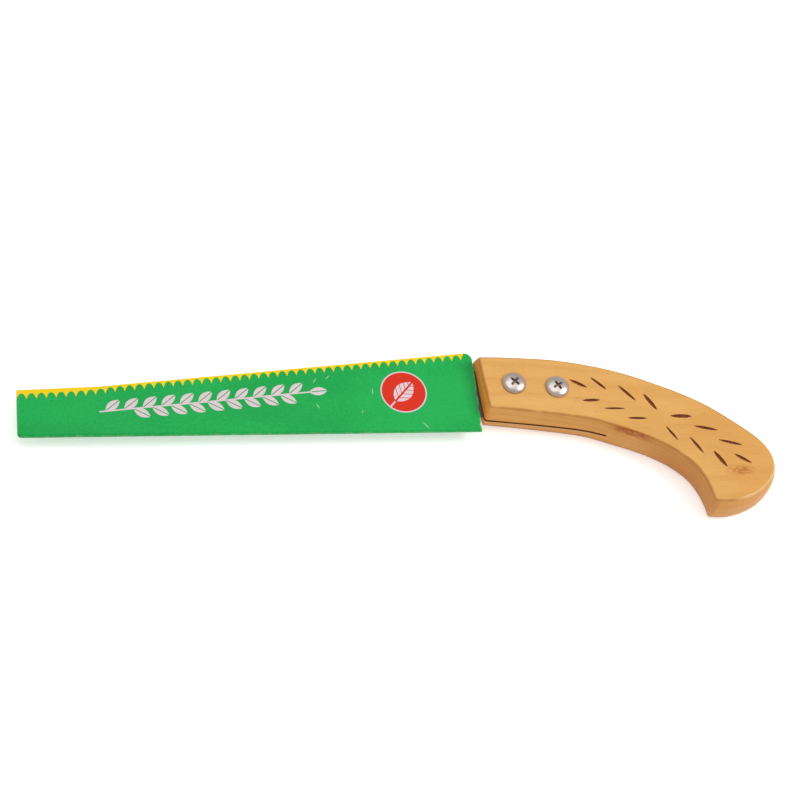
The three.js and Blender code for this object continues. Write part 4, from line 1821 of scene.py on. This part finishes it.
@dataclass
class Sheath:
    """The folded and glued card sleeve, open at both ends."""

    effects: Effects
    outline: SleeveOutline
    plane: float
    card: float = 0.5
    middle: float = 1.8
    edge: float = 1.55
    spine_fold: float = 1.5
    tooth_fold: float = 0.75
    toe_corner: float = 2.2
    lap: float = 14.0
    lap_step: float = 0.32
    lap_edge: float = 0.12
    points_across: int = 61
    worn_width: float = 1.2
    flare: float = 0.16
    station: float = 2.0
    tear: float = 0.7

    def stations(self) -> np.ndarray:
        """Places along the sleeve, closer together at the rounded corner and the ends.

        Returns:
            The places, from the toe to the open end.
        """
        o = self.outline
        turn = np.radians(np.linspace(0, 90, 12))
        toe = o.toe_x + self.toe_corner * (1 - np.cos(turn[:-1]))
        body = np.arange(o.toe_x + self.toe_corner, o.open_x - o.corner, self.station)
        corner = o.open_x - o.corner * (1 - np.sin(turn))
        return np.concatenate([toe, body, corner])

    def top(self, x: float) -> float:
        """Height of the tooth edge at x, with the rounded corner at the open end.

        Args:
            x: Place along the sleeve.

        Returns:
            The height.
        """
        o = self.outline
        run = max(x - (o.open_x - o.corner), 0)
        drop = o.corner - math.sqrt(max(o.corner**2 - run**2, 0))
        return float(o.edge(x)) - drop

    def bottom(self, x: float) -> float:
        """Height of the spine at x, with the rounded corner at the toe.

        Args:
            x: Place along the sleeve.

        Returns:
            The height.
        """
        run = max(self.toe_corner - (x - self.outline.toe_x), 0)
        return self.outline.spine_y + self.toe_corner - math.sqrt(max(self.toe_corner**2 - run**2, 0))

    def around(self, seam: float, step: float) -> tuple[np.ndarray, np.ndarray]:
        """Spread points round a section, closer together at the folds, with two of them on the lap's edge.

        Args:
            seam: Where the lap's edge lies, from -1 at the spine to 1 at the tooth edge.
            step: Half the distance between its two points.

        Returns:
            Each point's place across the section, from -1 to 1, and its side, 1 in front and -1 at the back.
        """
        lean = np.sin(np.radians(np.linspace(-90, 90, self.points_across)))
        front = np.sign(lean) * np.sin(np.abs(lean) * math.pi / 2)
        fall = front[::-1]
        lap = [seam + step, seam - step]
        back = np.concatenate([fall[fall > seam + 2 * step], lap, fall[fall < seam - 2 * step]])
        back = np.interp(np.linspace(0, 1, self.points_across), np.linspace(0, 1, len(back)), back)
        for gap, place in zip((step, -step), lap):
            back[np.argmin(np.abs(back - seam - gap))] = place
        side = np.concatenate([np.ones(len(front)), -np.ones(len(back) - 2)])
        return np.concatenate([front, back[1:-1]]), side

    def loop(self, x: float, inset: float) -> tuple[np.ndarray, np.ndarray]:
        """One closed section of the sleeve.

        Args:
            x: Place along the sleeve.
            inset: Distance inside the outer surface.

        Returns:
            The section's points, and their nearness to a fold or an end, from 0 to 1.
        """
        low, high = self.bottom(x) + inset, self.top(x) - inset
        mid, half = (low + high) / 2, (high - low) / 2
        seam = (self.outline.spine_y + self.lap - mid) / half
        across, side = self.around(seam, self.lap_edge / half)
        y = mid + half * across
        body = self.edge + (self.middle - self.edge) * (1 - across**2) - inset
        lapped = (side < 0) & (across < seam) & (inset == 0)
        body = body + np.where(lapped, self.lap_step, 0.0)
        fold = np.where(across < 0, self.spine_fold, self.tooth_fold) - inset * 0.5
        from_fold = (1 - np.abs(across)) * half
        turn = np.clip(1 - from_fold / fold, 0, 1)
        from_open, from_toe = x - self.outline.open_x, x - self.outline.toe_x
        end = max(math.exp(-((from_open / 7.0) ** 2)), math.exp(-((from_toe / 5.0) ** 2)))
        ripple = 0.10 * np.sin(x / 23.0 + y / 17.0) + 0.07 * np.sin(x / 9.0 - y / 11.0)
        flare = self.flare * end * np.sin(y / 9.0 + 0.6)
        skin = self.plane + side * body * np.sqrt(1 - turn**2)
        z = skin + ripple * (1 - across**8) + flare * (1 - across**4)
        nearness = np.maximum(np.clip(1 - from_fold / self.worn_width, 0, 1) * 0.8, 0.8 * (end > 0.99))
        waves = np.clip(1 - y / 8.0, 0, 1) * (0.5 + 0.5 * np.sin(0.62 * y + 1.2)) ** 3
        torn = self.tear * math.exp(-((from_open / 1.6) ** 2)) * waves
        return np.column_stack([x - torn, y, z]), nearness

    def build(self) -> None:
        """Loft the outer and the inner skin, close them at both ends and dress the sleeve."""
        stations = self.stations()
        sections = [(inset, *self.loop(float(x), inset)) for inset in (0.0, self.card) for x in stations]
        around, count = len(sections[0][1]), len(stations)
        outer = ring_quads(0, count, around)
        inner = [tuple(reversed(quad)) for quad in ring_quads(count * around, count, around)]
        rims = []
        for ring, order in ((0, 1), (count - 1, -1)):
            a, b = ring * around, (count + ring) * around
            quads = [(b + i, b + (i + 1) % around, a + (i + 1) % around, a + i) for i in range(around)]
            rims += [quad[::order] for quad in quads]
        slots = [0] * len(outer) + [1] * (len(inner) + len(rims))
        finishes = [
            PrintedCard(self.effects, self.outline, self.plane).material(), RawCard(self.effects).material()
        ]
        points = np.vstack([section for _, section, _ in sections])
        sleeve = make_piece("card_sleeve", points, [*outer, *inner, *rims], finishes, slots)
        work = bmesh.new()
        work.from_mesh(sleeve.data)
        bmesh.ops.recalc_face_normals(work, faces=work.faces)
        work.to_mesh(sleeve.data)
        work.free()
        paint_value(sleeve, "edge", np.concatenate([near * (inset == 0) for inset, _, near in sections]))
        shade(sleeve, 50)
        nodes = ("sheath_front_panel", "sheath_back_panel", "sheath_spine_fold", "sheath_tooth_edge_flap")
        hand_over(sleeve, Body.SHEATH, Slot.CARD, *nodes)


# ---- Studio ----


@dataclass(frozen=True)
class Lamp:
    """One soft rectangular lamp."""

    name: str
    place: tuple[float, float, float]
    size: float
    power: float
    colour: tuple[float, float, float] = (1.0, 1.0, 1.0)


@dataclass
class Studio:
    """Pale floor, soft lamps and a long lens that looks steeply down at the saw."""

    aim: tuple[float, float, float]
    tilt: float = 31.5
    turn: float = 20.0
    level: float = 0.0095
    lens: float = 94.5
    distance: float = 1.1952
    aside: float = 0.0775
    above: float = 0.0091
    floor_size: float = 30.0
    floor_glow: float = 0.45
    floor_bounce: str = "8A8A8A"
    sky: float = 0.56
    lamps: tuple[Lamp, ...] = field(default=(
        Lamp("key", (1.28, -0.08, 1.53), 0.8, 15.6, (1.0, 0.985, 0.96)),
        Lamp("overhead", (-0.15, 0.35, 1.3), 1.0, 3.8),
    ))

    def floor(self) -> None:
        """Lay the floor just under the saw."""
        half = self.floor_size / 2 / MM
        corners = np.array([(-half, -half, 0), (half, -half, 0), (half, half, 0), (-half, half, 0)], float)
        paint = Paint("pale floor")
        speck = paint.canvas.noise(paint.position, 0.02, 3.0)
        paint.set(Base_Color=paint.canvas.blend(speck, tint("F6F6F5"), tint("FAFAFA")), Roughness=0.9)
        direct = paint.canvas.add("ShaderNodeLightPath").outputs["Is Camera Ray"]
        glow = paint.canvas.blend(direct, tint(self.floor_bounce), tint("FFFFFF"))
        paint.set(Specular_IOR_Level=0.1, Emission_Color=glow, Emission_Strength=self.floor_glow)
        floor = make_piece("floor", corners, [(0, 1, 2, 3)], [paint.material])

    def light(self) -> None:
        """Hang the lamps and set the soft surrounding light."""
        target = Vector(self.aim)
        for lamp in self.lamps:
            data = bpy.data.lights.new(lamp.name, "AREA")
            data.size = lamp.size
            data.energy = lamp.power
            data.color = lamp.colour
            thing = bpy.data.objects.new(lamp.name, data)
            thing.location = lamp.place
            thing.rotation_euler = (target - Vector(lamp.place)).to_track_quat("-Z", "Y").to_euler()
            bpy.context.scene.collection.objects.link(thing)
        world = bpy.data.worlds.new("studio")
        world.use_nodes = True
        canvas = Canvas(world.node_tree)
        direct = canvas.add("ShaderNodeLightPath").outputs["Is Camera Ray"]
        sky = world.node_tree.nodes["Background"]
        canvas.feed(sky.inputs["Color"], canvas.blend(direct, tint("FFFEFD"), tint("FFFFFF")))
        canvas.feed(sky.inputs["Strength"], canvas.math("MULTIPLY_ADD", direct, 1.0 - self.sky, self.sky))
        bpy.context.scene.world = world
        bpy.context.scene.view_settings.view_transform = "Standard"

    def camera(self) -> None:
        """Set up the camera from its tilt, turn and level against the saw."""
        tilt, turn = math.radians(self.tilt), math.radians(self.turn)
        up = Vector((math.sin(tilt) * math.sin(turn), math.sin(tilt) * math.cos(turn), math.cos(tilt)))
        right = Vector((1.0, self.level, -(up.x + self.level * up.y) / up.z)).normalized()
        away = up.cross(right)
        turned = Matrix((right, away, up))
        seen = Vector((self.aside, self.above, -self.distance))
        data = bpy.data.cameras.new("camera")
        data.lens = self.lens
        data.clip_start = 0.05
        camera = bpy.data.objects.new("camera", data)
        camera.matrix_world = Matrix.Translation(Vector(self.aim) - turned @ seen) @ turned.to_4x4()
        bpy.context.scene.collection.objects.link(camera)
        bpy.context.scene.camera = camera

    def build(self) -> None:
        """Make the whole studio."""
        self.camera()
        self.light()
        self.floor()


def middle_of(node: str) -> tuple[float, float]:
    """Centre of a CAD node in plan, in millimetres."""
    low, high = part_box(node)
    return ((low.x + high.x) / 2 / MM, (low.y + high.y) / 2 / MM)


def main() -> None:
    """Build the studio, then the saw's sub-assemblies in order."""
    logging.basicConfig(level=logging.INFO, format="%(name)s %(message)s")
    low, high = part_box("handle")
    thickness = (high.z - low.z) / MM
    plane = thickness / 2
    screws = [middle_of("front_screw"), middle_of("rear_screw")]
    effects = Effects()
    outline = SleeveOutline()
    Studio(aim=(0.0, 0.0, (thickness + 1.5) * MM)).build()
    Grip(effects, screws, thickness).build()
    Blade(effects, outline, screws, plane).build()
    Fasteners(effects, screws, thickness).build()
    Sheath(effects, outline, plane).build()


if __name__ == "__main__":
    main()
